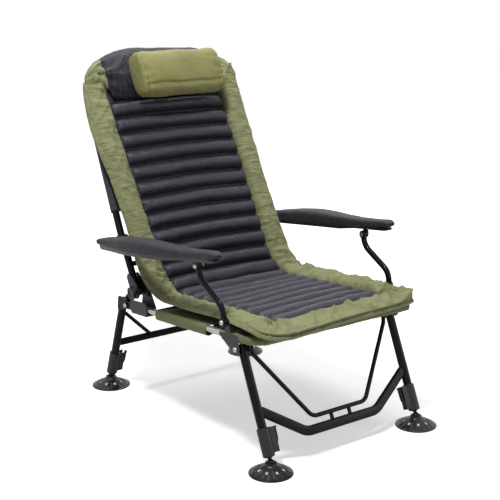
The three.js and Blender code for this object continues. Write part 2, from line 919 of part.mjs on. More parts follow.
function addFrontLegs() {
  const leg = legs[0];
  const square = new THREE.Vector3(0, 1, 0);
  const tubeSolid = tube(
    [
      [legHalfSpan, 0, frontLegStub],
      [legHalfSpan, 0, clampSeat - leg.length],
    ],
    0,
    square,
    ringShape(legTubeRadius, legTubeWall),
  );
  const boltHole = crossPin({ y: 0, z: 0 }, boltRadius + boltGap, braceTopX - 2 * boltHeadRadius, outerPlateX);
  addPair("front_leg_tube", onLeg(leg, cut(tubeSolid, boltHole)), "blackGloss");

  const bar = tube(
    [
      [-legHalfSpan, 0, -crossbarEndDown],
      [-crossbarLowHalf, 0, -crossbarLowDown],
      [crossbarLowHalf, 0, -crossbarLowDown],
      [legHalfSpan, 0, -crossbarEndDown],
    ],
    crossbarBend,
    square,
    flatOvalShape(crossbarThickness, crossbarHeight, 0),
    barSides,
  );
  const saddle = legCylinder(leg, legTubeRadius + fitGap, leg.length);
  const bars = cut(bar, saddle, saddle.clone().rotateZ(Math.PI));
  add(chair, "front_crossbar", onLeg(leg, bars), "darkSatin");

  const brace = tube(
    [
      [-braceTopX, 0, eyeRadius],
      [-braceTopX, 0, -braceTopRun],
      [-braceLowHalf, 0, -braceLowDown],
      [braceLowHalf, 0, -braceLowDown],
      [braceTopX, 0, -braceTopRun],
      [braceTopX, 0, eyeRadius],
    ],
    braceBend,
    square,
    discShape(braceRadius),
    braceSides,
  );
  const clipTop = -braceLowDown - braceRadius / 2;
  const clipFoot = -crossbarLowDown + crossbarHeight / 2 + fitGap;
  const clips = [-clipHalfSpan, clipHalfSpan].map((x) =>
    box([x - clipWidth / 2, x + clipWidth / 2], [-clipDepth / 2, clipDepth / 2], [clipFoot, clipTop]),
  );
  const otherHole = boltHole.clone().translate(-2 * braceTopX, 0, 0);
  const holed = cut(join(brace, ...clips), boltHole, otherHole);
  add(chair, "front_brace", onLeg(leg, holed), "darkSatin");

  const bolt = pivotBolt({ y: 0, z: 0 }, braceTopX - braceRadius - fitGap, outerPlateX + plateThickness + fitGap);
  addPair("front_leg_bolt", onLeg(leg, bolt), "silver");
}

function addRearLegs() {
  const leg = legs[1];
  const square = new THREE.Vector3(0, 1, 0);
  const tubeSolid = tube(
    [
      [legHalfSpan, leg.offset, rearLegStub],
      [legHalfSpan, leg.offset, clampSeat - leg.length],
    ],
    0,
    square,
    ringShape(legTubeRadius, legTubeWall),
  );
  const ear = hullShape([
    [0, 0, eyeRadius],
    [leg.offset, 0, legEarLobe],
    [leg.offset, -legEarDown, legTubeRadius / 2],
  ]);
  const innerEar = legHalfSpan - legTubeRadius + legEarSink - legEarPlate;
  const outerEar = legHalfSpan + legTubeRadius - legEarSink;
  const eye = crossPin({ y: 0, z: 0 }, boltRadius + boltGap, innerEar - cutOverrun, outerEar + 2 * cutOverrun);
  const whole = cut(
    join(tubeSolid, sidePlate(ear, innerEar, legEarPlate), sidePlate(ear, outerEar, legEarPlate)),
    eye,
  );
  addPair("rear_leg_tube", onLeg(leg, whole), "darkSatin");

  const bar = tube(
    [
      [-legHalfSpan, leg.offset, -rearBarDown],
      [legHalfSpan, leg.offset, -rearBarDown],
    ],
    0,
    square,
    flatOvalShape(rearBarThickness, rearBarHeight, 0),
    barSides,
  );
  const stays = [-1, 1].map((s) =>
    tube(
      [
        [s * stayTopHalf, leg.offset, -stayTopDown],
        [s * stayHalfSpan, leg.offset, -rearBarDown],
      ],
      0,
      square,
      flatOvalShape(stayThickness, stayWidth, 0),
      2,
    ),
  );
  const saddle = legCylinder(leg, legTubeRadius + fitGap, leg.length);
  const otherSaddle = saddle.clone().translate(-2 * legHalfSpan, 0, 0);
  add(chair, "rear_crossbar", onLeg(leg, cut(join(bar, ...stays), saddle, otherSaddle)), "darkSatin");

  const bolt = pivotBolt({ y: 0, z: 0 }, innerEar - fitGap, outerEar + legEarPlate + fitGap);
  addPair("rear_leg_bolt", onLeg(leg, bolt), "silver");
}

// Leg clamps, levers, extensions and feet, drawn about the centre of the foot's ball.
function clampGeometry() {
  const bore = legTubeRadius + slideGap;
  const neck = extensionRadius + slideGap;
  const end = clampStart + clampLength;
  const step = clampSeat - fitGap;
  const sleeve = lathe(
    [
      [neck, clampStart],
      [clampRadius - clampChamfer, clampStart],
      [clampRadius, clampStart + clampChamfer],
      [clampRadius, end - clampChamfer / 2],
      [clampRadius - clampChamfer / 2, end],
      [bore, end],
      [bore, step],
      [neck, step],
      [neck, clampStart],
    ],
    roundSides,
  );
  const block = box(
    [-clampBlockReach, -(bore + clampRadius) / 2],
    [-clampBlockHalf, clampBlockHalf],
    [clampBlockStart, clampBlockEnd],
  );
  const slotHalf = leverHalfWidth + leverSlotGap;
  const slot = box(
    [-clampBlockReach - cutOverrun, -clampRadius - leverSlotGap],
    [-slotHalf, slotHalf],
    [clampBlockStart - cutOverrun, clampBlockEnd + cutOverrun],
  );
  const pinHole = new THREE.CylinderGeometry(
    leverPinRadius + boltGap,
    leverPinRadius + boltGap,
    3 * clampBlockHalf,
    boltSides,
  ).translate(-leverPinReach, 0, leverPinUp);
  return cut(join(sleeve, block), slot, pinHole);
}

function leverGeometry() {
  const slab = (circles) =>
    new THREE.ExtrudeGeometry(hullShape(circles), { depth: 2 * leverHalfWidth, bevelEnabled: false })
      .rotateX(Math.PI / 2)
      .translate(0, leverHalfWidth, 0);
  const mid = [-leverMidReach, leverMidUp, leverThickness / 2];
  const tip = [-leverTipReach, leverTipUp, leverThickness / 2];
  const curl = [-leverTipReach - leverTipCurl, leverTipUp + leverTipCurl, leverThickness / 2];
  const pin = new THREE.CylinderGeometry(leverPinRadius, leverPinRadius, 2 * clampBlockHalf, boltSides);
  return join(
    slab([[-leverPinReach, leverPinUp, leverCamRadius], mid]),
    slab([mid, tip]),
    slab([tip, curl]),
    pin.translate(-leverPinReach, 0, leverPinUp),
  );
}

function extensionGeometry() {
  const stemAngle = Math.asin(stemRadius / ballRadius);
  const ball = [];
  const ballSteps = 6;
  for (let i = 0; i <= ballSteps; i++) {
    const angle = ((Math.PI - stemAngle) * i) / ballSteps;
    ball.push([ballRadius * Math.sin(angle), -ballRadius * Math.cos(angle)]);
  }
  const top = clampSeat + extensionInside;
  return lathe(
    [
      ...ball,
      [stemRadius, neckUp - stemRadius / 2],
      [neckRadius, neckUp],
      [neckRadius, extensionShoulder],
      [extensionRadius, extensionShoulder],
      [extensionRadius, top],
      [extensionRadius - extensionWall, top],
      [extensionRadius - extensionWall, extensionPlug],
      [0, extensionPlug],
    ],
    boltSides + 2,
  );
}

function footGeometry() {
  const socket = ballRadius + socketGap;
  const openAngle = Math.acos(socketTop / socket);
  const cup = [];
  const cupSteps = 4;
  for (let i = 0; i <= cupSteps; i++) {
    const angle = openAngle + ((Math.PI - openAngle) * i) / cupSteps;
    cup.push([socket * Math.sin(angle), socket * Math.cos(angle)]);
  }
  cup[cupSteps][0] = 0;
  return lathe(
    [
      [0, hollowHeight - ballHeight],
      [footRadius - footRim, -ballHeight],
      [footRadius, -ballHeight],
      [footRadius, footEdge - ballHeight],
      [dishMidRadius, dishMidHeight - ballHeight],
      [domeRadius, domeHeight - ballHeight],
      [socket + socketWall, socketTop - socketWall],
      [socket + socketWall / 2, socketTop],
      ...cup,
    ],
    roundSides,
  );
}

function addLegEnds() {
  const atBall = (leg, geometry) =>
    onLeg(leg, geometry.translate(legHalfSpan, leg.offset, -leg.length));
  for (const leg of legs) {
    addPair(leg.end + "_leg_clamp", atBall(leg, clampGeometry()), "greyPlastic");
    addPair(leg.end + "_clamp_lever", atBall(leg, leverGeometry()), "greyPlastic");
    addPair(leg.end + "_leg_extension", atBall(leg, extensionGeometry()), "blackGloss");
    const ball = turned(leg.offset, -leg.length, leg.turn);
    const foot = footGeometry().translate(legHalfSpan, leg.pivot.y + ball.y, ballHeight);
    addPair(leg.end + "_foot", foot, "blackPlastic");
  }
}

// Arm supports: flat-oval bars with an S bend, from the front bracket's ear up to the armrest.
const supportBendShares = [
  [0.03, 0.29],
  [0.95, 0.75],
];

function addArmSupports() {
  const end = (place, awayY, awayZ) => {
    const length = Math.hypot(awayY, awayZ);
    return [supportX, place.y + (awayY * supportEndReach) / length, place.z + (awayZ * supportEndReach) / length];
  };
  const middle = supportBendShares.map(([reach, rise]) => [
    supportX,
    armPivot.y + reach * armLinkReach,
    armPivot.z + rise * armLinkRise,
  ]);
  const first = middle[0];
  const last = middle[middle.length - 1];
  const route = [
    end(armPivot, armPivot.y - first[1], armPivot.z - first[2]),
    ...middle,
    end(armFrontPivot, armFrontPivot.y - last[1], armFrontPivot.z - last[2]),
  ];
  const bar = tube(route, supportBend, sideAxis, flatOvalShape(supportWidth, supportDepth, 0), 2);
  const startX = supportX - supportWidth;
  const endX = supportX + supportWidth;
  const support = cut(
    bar,
    crossPin(armPivot, boltRadius + boltGap, startX, endX),
    crossPin(armFrontPivot, boltRadius + boltGap, startX, endX),
  );
  addPair("arm_support", support, "blackGloss");
  const outer = supportX + supportWidth / 2 + fitGap;
  addPair("arm_lower_bolt", pivotBolt(armPivot, outerPlateX - fitGap, outer, thinNutHeight), "silver");
  const lugOuter = outer + fitGap + lugThickness + fitGap;
  addPair("arm_upper_bolt", pivotBolt(armFrontPivot, supportX - supportWidth / 2 - fitGap, lugOuter), "silver");
}

// Armrests, drawn with Y running back from the front pivot and Z square to the armrest's underside.
const armTurn = -radians(armSlopeDegrees);
const armLength = armFrontAhead + armRearBehind;
const armWidestShare = 0.62;
const endShare = 0.2;
const armTipShare = 0.45;
const humpStartShare = 0.2;
const humpTopShare = 0.58;
const dropStartShare = 0.62;
const armSideShare = 0.95;
const trayFloorShare = 0.82;
const trayEndShare = 0.4;
const trayStepShare = 0.1;

function onArm(geometry) {
  return geometry.rotateX(armTurn).translate(0, armFrontPivot.y, armFrontPivot.z);
}

function armWidth(share) {
  const blend = THREE.MathUtils.smoothstep;
  const grow = blend(share, 0, armWidestShare);
  const shrink = blend(share, armWidestShare, 1);
  return armFrontWidth + (armWideWidth - armFrontWidth) * grow - (armWideWidth - armRearWidth) * shrink;
}

// How far the outline keeps its full width, 0 at the very tip and 1 beyond the round end.
function endRounding(share) {
  const distance = Math.min(share, 1 - share) * armLength;
  const radius = armRearWidth / 2;
  const short = Math.max(0, 1 - distance / radius);
  return Math.sqrt(Math.max(0, 1 - short * short));
}

const armStations = [0, 0.008, 0.03, 0.12, 0.24, 0.36, 0.48, 0.6, 0.72, 0.84, 0.96, 0.988, 1];

// A block of cells whose corners are moved one by one: place(u, v, t) takes -1 to 1, an index, -1 to 1.
function moulded(across, lengthways, deep, place) {
  const geometry = new THREE.BoxGeometry(2, 2, 2, across, lengthways, deep);
  const position = geometry.attributes.position;
  for (let i = 0; i < position.count; i++) {
    const v = Math.round(((position.getY(i) + 1) / 2) * lengthways);
    const p = place(position.getX(i), v, position.getZ(i));
    position.setXYZ(i, p[0], p[1], p[2]);
  }
  return geometry;
}

// The foam pad: humped under the forearm, thinner towards its tip, with its long edges rolled over.
const padRollShares = [0.55, 0.9, 1, 0.9, 0.55];

function armPadFull(share) {
  const risen = THREE.MathUtils.smoothstep(share, humpStartShare, humpTopShare);
  const fallen = THREE.MathUtils.smoothstep(share, dropStartShare, 1);
  return armPadThickness + armPadHump * risen - armPadDrop * fallen;
}

function armPadGeometry() {
  const across = padRollShares.length - 1;
  return moulded(across, armStations.length - 1, 2, (u, v, t) => {
    const share = armStations[v];
    const width = armWidth(share);
    const round = Math.max(endShare, endRounding(share));
    const roll = padRollShares[Math.round(((u + 1) / 2) * across)];
    const thickness = armPadFull(share) * roll * (armTipShare + (1 - armTipShare) * endRounding(share));
    const bulge = t === 0 ? 1 : armSideShare;
    const x = armInnerX + (width / 2) * (1 + u * round * bulge);
    return [x, share * armLength - armFrontAhead, armPlaneAbove + fitGap + (thickness * (t + 1)) / 2];
  });
}

function addArmrests() {
  const plane = armPlaneAbove;
  addPair("armrest_pad", onArm(armPadGeometry()), "charcoalFoam");

  const stepShare = (armFrontAhead + trayStepAlong) / armLength;
  const depth = (share) => {
    const deeper = THREE.MathUtils.smoothstep(share, stepShare - trayStepShare, stepShare);
    return trayFrontDepth + (trayDepth - trayFrontDepth) * deeper;
  };
  const tray = moulded(trayCells, armStations.length - 1, 1, (u, v, t) => {
    const share = armStations[v];
    const width = armWidth(share);
    const round = Math.max(endShare, endRounding(share));
    const half = (width / 2 - trayInset) * round * (t < 0 ? trayFloorShare : 1);
    const y = -armFrontAhead + 2 * trayInset + share * (armLength - 4 * trayInset);
    const below = depth(share) * (trayEndShare + (1 - trayEndShare) * round);
    return [armInnerX + width / 2 + u * half, y, t < 0 ? plane - below : plane];
  });
  const lugX = supportX + supportWidth / 2 + 2 * fitGap;
  const frontLug = sidePlate(
    hullShape([
      [0, 0, lugRadius],
      [0, plane - trayFrontDepth / 2 - lugRadius, lugRadius],
    ]),
    lugX,
    lugThickness,
  );
  const rear = turned(armRearPivot.y - armFrontPivot.y, armRearPivot.z - armFrontPivot.z, -armTurn);
  const rearLugX = outerPlateX + fitGap;
  const rearLug = sidePlate(
    hullShape([
      [rear.y, rear.z, lugRadius - trayInset / 2],
      [rear.y, plane - trayDepth + lugRadius / 2, lugRadius / 2],
    ]),
    rearLugX,
    armInnerX - fitGap - rearLugX,
  );
  const rearFoot = box(
    [rearLugX, armInnerX + 3 * trayInset],
    [rear.y - lugRadius / 2, rear.y + lugRadius / 2],
    [plane - trayDepth + fitGap, plane - fitGap],
  );
  const whole = cut(
    join(tray, frontLug, rearLug, rearFoot),
    crossPin({ y: 0, z: 0 }, boltRadius + openPivotGap, lugX - cutOverrun, lugX + 2 * cutOverrun),
    crossPin(rear, rearPinRadius + boltGap, rearLugX - cutOverrun, armInnerX),
  );
  addPair("armrest_tray", onArm(whole), "blackPlastic");
}

// Mattress: its middle runs along the seat, round one bend, and up the backrest.
const padTurnAngle = Math.PI / 2 + backTurn - seatTurn;
const padCorner = (() => {
  const seatLine = seatPoint(0, seatPadAbove);
  const backLine = backPoint(0, backPadAhead);
  const dy = backLine.y - seatLine.y;
  const dz = backLine.z - seatLine.z;
  const seatDirection = turned(1, 0, seatTurn);
  const backDirection = turned(0, 1, backTurn);
  const cross = seatDirection.y * backDirection.z - seatDirection.z * backDirection.y;
  return {
    along: (dy * backDirection.z - dz * backDirection.y) / cross,
    up: (dy * seatDirection.z - dz * seatDirection.y) / cross,
  };
})();
const padSetback = padBendRadius * Math.tan(padTurnAngle / 2);
const padSeatRun = padFrontAhead + padCorner.along - padSetback;
const padBendRun = padBendRadius * padTurnAngle;

function mattressPlace(distance, above, x) {
  if (distance < padSeatRun) {
    const p = seatPoint(distance - padFrontAhead, seatPadAbove + above);
    return [x, p.y, p.z];
  }
  if (distance < padSeatRun + padBendRun) {
    const angle = (distance - padSeatRun) / padBendRadius;
    const reach = padBendRadius - above;
    const centre = seatPoint(padSeatRun - padFrontAhead, seatPadAbove + padBendRadius);
    const p = turned(reach * Math.sin(angle), -reach * Math.cos(angle), seatTurn);
    return [x, centre.y + p.y, centre.z + p.z];
  }
  const up = padCorner.up + padSetback + distance - padSeatRun - padBendRun;
  const p = backPoint(up, backPadAhead + above);
  return [x, p.y, p.z];
}

const seatRibs = 8;
const bendRibs = 3;
const backRibs = 12;
const padLength = padSeatRun + padBendRun + padBackTop - padCorner.up - padSetback;
const bendStart = padBorder + seatRibs * ribPitch;
const backStart = bendStart + bendRibs * ribPitch;
const ribShares = [0, 1, 1];
const acrossShares = [0, 0.72, 0.87, 1];
const rollShares = [1, 1, 0.9, 0.35];

function padEdge(distance) {
  const fromTop = padLength - distance;
  const front = Math.max(0, 1 - distance / frontCornerRadius);
  const top = Math.max(0, 1 - fromTop / topCornerDown);
  const lostFront = frontCornerRadius * (1 - Math.sqrt(1 - front * front));
  const lostTop = topCornerAcross * (1 - Math.sqrt(1 - top * top));
  const drawn = padPinch * Math.sin((Math.PI * distance) / padLength) ** 2;
  return padHalfWidth - lostFront - lostTop - drawn;
}

// One length of mattress: station distances, each with its share of rib height, 1 where there is none.
function padPiece(stations) {
  const spread = acrossShares.length - 1;
  return moulded(2 * spread, stations.length - 1, 1, (u, v, t) => {
    const { distance, rib, edge } = stations[v];
    const column = Math.round(Math.abs(u) * spread);
    const x = Math.sign(u) * acrossShares[column] * padEdge(distance);
    const full = padHalfThickness + padCrown * (1 - acrossShares[column] ** 2);
    const upper = [full - ribDepth * (1 - rib), full - seamDepth, full, full * rollShares[3]];
    const lower = rollShares.map((share) => -padHalfThickness * share);
    const above = (t > 0 ? upper : lower)[column] * edge;
    return mattressPlace(distance, above, x);
  });
}

function ribStations(start, count, trimStart, trimEnd) {
  const steps = ribShares.length;
  const stations = [];
  for (let i = 0; i <= count * steps; i++) {
    stations.push({ distance: start + (i * ribPitch) / steps, rib: ribShares[i % steps], edge: 1 });
  }
  stations[0].distance += trimStart;
  stations[stations.length - 1].distance -= trimEnd;
  return stations;
}

function addMattress() {
  const half = padSplitGap / 2;
  const borderShares = [0, 0.12, 0.55];
  const edgeShares = [0.35, 0.8, 1];
  const frontBorder = borderShares.map((share, i) => ({ distance: share * padBorder, rib: 1, edge: edgeShares[i] }));
  const topBorder = borderShares
    .map((share, i) => ({ distance: padLength - share * padBorder, rib: 1, edge: edgeShares[i] }))
    .reverse();
  const seatPad = padPiece([...frontBorder, ...ribStations(padBorder, seatRibs, 0, half)]);
  const bendPad = padPiece(ribStations(bendStart, bendRibs, half, half));
  const backPad = padPiece([...ribStations(backStart, backRibs, half, 0), ...topBorder]);
  add(chair, "mattress_seat", seatPad, "charcoalCloth");
  add(chair, "mattress_bend", bendPad, "charcoalCloth");
  add(chair, "mattress_back", backPad, "charcoalCloth");
}

// Pillow: a stuffed block with a flat back, thick in the middle and drawn in at its ends.
function addPillow() {
  const face = backPadAhead + padHalfThickness + padCrown + pillowGap;
  const fullness = (share, power) => Math.sqrt(Math.max(0, 1 - Math.abs(share) ** power));
  const pillow = moulded(pillowCellsAcross, pillowCellsUp, 2, (u, v, t) => {
    const w = (2 * v) / pillowCellsUp - 1;
    const plump = fullness(u, pillowEndPower) * fullness(w, pillowEdgePower);
    const swell = pillowThinShare + (1 - pillowThinShare) * plump;
    const across = pillowWaistShare + (1 - pillowWaistShare) * (1 - w * w);
    const tall = pillowCornerShare + (1 - pillowCornerShare) * (1 - u ** pillowEdgePower);
    const ahead = face + pillowHalfThickness * (1 + (t < 0 ? -1 : t * swell));
    const p = backPoint(pillowUp + w * pillowHalfHeight * tall, t === 0 ? face + pillowHalfThickness * swell : ahead);
    return [u * pillowHalfWidth * across + pillowOffset, p.y, p.z];
  });
  add(chair, "pillow", pillow, "pillowCloth");
}

addSeatFrame();
addSeatSling();
addFrontBrackets();
addHingeBrackets();
addKnobs();
addBackFrame();
addBackBrackets();
addPivotBlocks();
addFrontLegs();
addRearLegs();
addLegEnds();
addArmSupports();
addArmrests();
addMattress();
addPillow();

const extent = new THREE.Box3().setFromObject(chair);
chair.position.y = -(extent.min.y + extent.max.y) / 2;

export default chair;
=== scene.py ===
import json
import math

import bmesh
import bpy
import numpy as np
from mathutils import Matrix, Vector

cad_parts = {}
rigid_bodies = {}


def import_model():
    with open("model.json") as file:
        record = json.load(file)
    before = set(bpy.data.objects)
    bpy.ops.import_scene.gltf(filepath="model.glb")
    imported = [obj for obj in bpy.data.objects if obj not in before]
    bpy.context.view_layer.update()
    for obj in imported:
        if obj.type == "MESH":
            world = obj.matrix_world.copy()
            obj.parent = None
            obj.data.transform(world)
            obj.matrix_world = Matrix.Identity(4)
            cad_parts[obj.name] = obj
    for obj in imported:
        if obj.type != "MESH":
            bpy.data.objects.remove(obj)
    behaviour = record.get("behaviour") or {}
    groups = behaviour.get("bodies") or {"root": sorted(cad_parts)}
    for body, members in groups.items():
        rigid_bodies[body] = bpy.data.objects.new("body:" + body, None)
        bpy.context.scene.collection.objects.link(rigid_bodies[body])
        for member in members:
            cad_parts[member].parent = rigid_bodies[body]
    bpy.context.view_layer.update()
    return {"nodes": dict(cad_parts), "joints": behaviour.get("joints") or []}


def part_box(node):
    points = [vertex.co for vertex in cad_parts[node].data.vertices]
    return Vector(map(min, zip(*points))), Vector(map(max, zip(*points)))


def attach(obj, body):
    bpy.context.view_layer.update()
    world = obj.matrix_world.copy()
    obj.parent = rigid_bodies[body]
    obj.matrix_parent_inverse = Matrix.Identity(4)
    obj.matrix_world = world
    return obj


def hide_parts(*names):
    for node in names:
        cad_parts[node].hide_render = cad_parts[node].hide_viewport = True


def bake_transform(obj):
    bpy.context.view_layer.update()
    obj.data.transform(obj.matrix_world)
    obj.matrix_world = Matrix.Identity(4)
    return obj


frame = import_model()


# Places taken from the frame
joints = {joint["name"]: joint for joint in frame["joints"]}


def joint_place(name):
    """The middle of a joint, in the frame's metres."""
    return Vector(joints[name]["pos_m"])


def tilted(origin, degrees):
    """A frame of axes at an origin, turned about X."""
    return Matrix.Translation(origin) @ Matrix.Rotation(math.radians(degrees), 4, "X")


SEAT_SLOPE = 4.25
BACK_LEAN = 28.0
FRONT_LEG_LEAN = 23.4
REAR_LEG_LEAN = 19.0
ARM_SLOPE = 6.5
HINGE_ALONG = 0.586
HINGE_ABOVE = 0.051

hinge = joint_place("recline")
hinge_from_front = Matrix.Rotation(math.radians(-SEAT_SLOPE), 3, "X") @ Vector((0, HINGE_ALONG, HINGE_ABOVE))
seat_axes = tilted(hinge - hinge_from_front, -SEAT_SLOPE)
back_axes = tilted(hinge, -BACK_LEAN)

# Camera
CAMERA_FROM_HINGE = Vector((-2.00374, -2.84134, 0.94853))
CAMERA_YAW = math.radians(36.98)
CAMERA_PITCH = math.radians(13.94)
CAMERA_ROLL = math.radians(-0.215)
LENS = 81.875
SENSOR = 36.0

forward = Vector((
    math.sin(CAMERA_YAW) * math.cos(CAMERA_PITCH),
    math.cos(CAMERA_YAW) * math.cos(CAMERA_PITCH),
    -math.sin(CAMERA_PITCH),
))
level = Vector((math.cos(CAMERA_YAW), -math.sin(CAMERA_YAW), 0.0))
upward = level.cross(forward)
right = level * math.cos(CAMERA_ROLL) + upward * math.sin(CAMERA_ROLL)
up = upward * math.cos(CAMERA_ROLL) - level * math.sin(CAMERA_ROLL)

camera_data = bpy.data.cameras.new("camera")
camera_data.lens = LENS
camera_data.sensor_width = SENSOR
camera_data.clip_end = 60.0
camera = bpy.data.objects.new("camera", camera_data)
bpy.context.scene.collection.objects.link(camera)
camera_turn = Matrix((right, up, -forward)).transposed().to_4x4()
camera.matrix_world = Matrix.Translation(hinge + CAMERA_FROM_HINGE) @ camera_turn
bpy.context.scene.camera = camera
bpy.context.scene.view_settings.view_transform = "Standard"

# Mesh helpers
def smoothstep(value):
    """Nothing up to zero and one from one on, with a smooth rise between."""
    clipped = np.clip(value, 0.0, 1.0)
    return clipped * clipped * (3.0 - 2.0 * clipped)


def bump(value, middle, reach):
    """One at the middle, falling smoothly to nothing at the reach on either side."""
    return smoothstep(1.0 - np.abs(value - middle) / reach)


def quarter_round(share):
    """The height of a quarter circle at a share of its radius from where it starts."""
    return np.sqrt(np.clip(1 - (1 - np.clip(share, 0, 1)) ** 2, 0, 1))


def signed_power(value, power):
    """A value's size raised to a power, with its sign kept."""
    return np.sign(value) * np.abs(value) ** power


def grid_step(share, count):
    """The nearest of count whole steps at a share of the way."""
    return np.round(share * count).astype(int)


def lengths_along(points):
    """How far along a route each of its points lies."""
    return np.concatenate([[0.0], np.cumsum(np.hypot(*np.diff(points, axis=0).T))])


def ruffle(u, v, seed):
    """Smooth noise between -1 and 1 over cells of unit size, the same on each run."""
    cell_u, cell_v = np.floor(u), np.floor(v)
    part_u, part_v = smoothstep(u - cell_u), smoothstep(v - cell_v)

    def corner(i, j):
        value = np.sin(i * 127.1 + j * 311.7 + seed * 74.7) * 43758.5453
        return 2.0 * (value - np.floor(value)) - 1.0

    low = corner(cell_u, cell_v) * (1 - part_u) + corner(cell_u + 1, cell_v) * part_u
    high = corner(cell_u, cell_v + 1) * (1 - part_u) + corner(cell_u + 1, cell_v + 1) * part_u
    return low * (1 - part_v) + high * part_v


def folds(u, v, seed):
    """Creased noise: narrow ridges with wide hollows, between 0 and 1."""
    return (1.0 - np.abs(ruffle(u, v, seed))) ** 3


def finish_mesh(name, bm, material, body, replaces=(), doubles=1e-5):
    """Turns a bmesh into a smooth shaded piece that rides on a body."""
    bmesh.ops.remove_doubles(bm, verts=bm.verts, dist=doubles)
    bmesh.ops.recalc_face_normals(bm, faces=bm.faces)
    mesh = bpy.data.meshes.new(name)
    bm.to_mesh(mesh)
    bm.free()
    mesh.polygons.foreach_set("use_smooth", [True] * len(mesh.polygons))
    materials = material if isinstance(material, (list, tuple)) else [material]
    for entry in materials:
        mesh.materials.append(entry)
    piece = bpy.data.objects.new(name, mesh)
    bpy.context.scene.collection.objects.link(piece)
    if body:
        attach(piece, body)
    if replaces:
        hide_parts(*replaces)
    return piece


def formed(columns, rows, place, cut):
    """A grid over the unit square, put where place(u, v) says, with its cloth's cut size as UV."""
    bm = bmesh.new()
    bmesh.ops.create_grid(bm, x_segments=columns, y_segments=rows, size=0.5)
    bm.verts.ensure_lookup_table()
    u = np.array([vert.co.x for vert in bm.verts]) + 0.5
    v = np.array([vert.co.y for vert in bm.verts]) + 0.5
    points = np.stack(place(u, v), axis=1)
    layer = bm.loops.layers.uv.verify()
    for face in bm.faces:
        for loop in face.loops:
            index = loop.vert.index
            loop[layer].uv = (u[index] * cut[0], v[index] * cut[1])
    for vert, point in zip(bm.verts, points):
        vert.co = point
    return bm


def through(controls, count):
    """A closed smooth curve through control points, as an array of count points."""
    controls = np.asarray(controls, dtype=float)
    total = len(controls)
    at = np.linspace(0.0, total, count, endpoint=False)
    index = np.floor(at).astype(int)
    t = (at - index)[:, None]
    before, start, end, after = (controls[(index + shift) % total] for shift in (-1, 0, 1, 2))
    return 0.5 * (
        2 * start
        + (end - before) * t
        + (2 * before - 5 * start + 4 * end - after) * t**2
        + (3 * start - before - 3 * end + after) * t**3
    )


def level_at(value, *pairs):
    """A value read from pairs of place and height, straight between them."""
    places, heights = zip(*pairs)
    return np.interp(value, places, heights)


# Materials
def principled(name, **sockets):
    """A new material whose Principled shader has the given constant sockets."""
    made = bpy.data.materials.new(name)
    made.use_nodes = True
    shader = made.node_tree.nodes["Principled BSDF"]
    for socket, value in sockets.items():
        shader.inputs[socket].default_value = value
    return made, made.node_tree, shader


def add_node(tree, kind, sockets=None, **settings):
    """A shader node with its settings and its constant or linked inputs."""
    made = tree.nodes.new(kind)
    for key, value in settings.items():
        setattr(made, key, value)
    for key, value in (sockets or {}).items():
        if isinstance(value, bpy.types.NodeSocket):
            tree.links.new(value, made.inputs[key])
        else:
            made.inputs[key].default_value = value
    return made


def object_coordinates(tree):
    return add_node(tree, "ShaderNodeTexCoord").outputs["Object"]


def cloth_coordinates(tree):
    return add_node(tree, "ShaderNodeUVMap").outputs["UV"]


def noise_at(tree, where, scale, detail, roughness):
    sockets = {"Vector": where, "Scale": scale, "Detail": detail, "Roughness": roughness}
    return add_node(tree, "ShaderNodeTexNoise", sockets).outputs["Fac"]


def ramp(tree, value, *stops):
    """A colour ramp; each stop is a place and a grey or a colour."""
    made = add_node(tree, "ShaderNodeValToRGB", {"Fac": value})
    elements = made.color_ramp.elements
    while len(elements) < len(stops):
        elements.new(0.5)
    for element, (place, colour) in zip(elements, stops):
        element.position = place
        element.color = (*colour, 1.0) if isinstance(colour, tuple) else (colour, colour, colour, 1.0)
    return made.outputs["Color"]


def maths(tree, operation, first, second=0.0):
    return add_node(tree, "ShaderNodeMath", {0: first, 1: second}, operation=operation).outputs["Value"]


def tinted(colour, share):
    """A colour made darker or lighter by a share."""
    return tuple(channel * share for channel in colour)


def bumped(tree, shader, height, distance, strength, under=None):
    """Bumps of a height on the shader's normal, over those of an earlier bump where one is given."""
    sockets = {"Height": height, "Distance": distance, "Strength": strength}
    if under is not None:
        sockets["Normal"] = under
    normal = add_node(tree, "ShaderNodeBump", sockets).outputs["Normal"]
    tree.links.new(normal, shader.inputs["Normal"])
    return normal


WAVE_PERIOD = math.tau / 20.0
DYE_SCALE = 14.0
FLECK_SCALE = 420.0
DYE_SHARE = 0.62
FLECK_SHARE = 0.38
CREASE_SCALE = 55.0
CREASE_DEPTH = 0.0045
PULL_SCALE = 36.0
PULL_STRETCH = (1.0, 0.22, 1.0)
WEAVE_DEPTH = 0.00035
GLOSS_SCALE = 38.0
GLOSS_SPREAD = 0.08
SCUFF_SCALE = 210.0
PEEL_SCALE = 900.0
PEEL_DEPTH = 0.00012


def threads(tree, where, pitch, direction):
    """A row of woven threads of one pitch, across or along the cloth."""
    sockets = {"Vector": where, "Scale": WAVE_PERIOD / pitch, "Distortion": 0.6, "Detail": 1.0}
    wave = add_node(tree, "ShaderNodeTexWave", sockets, bands_direction=direction)
    return wave.outputs["Fac"]


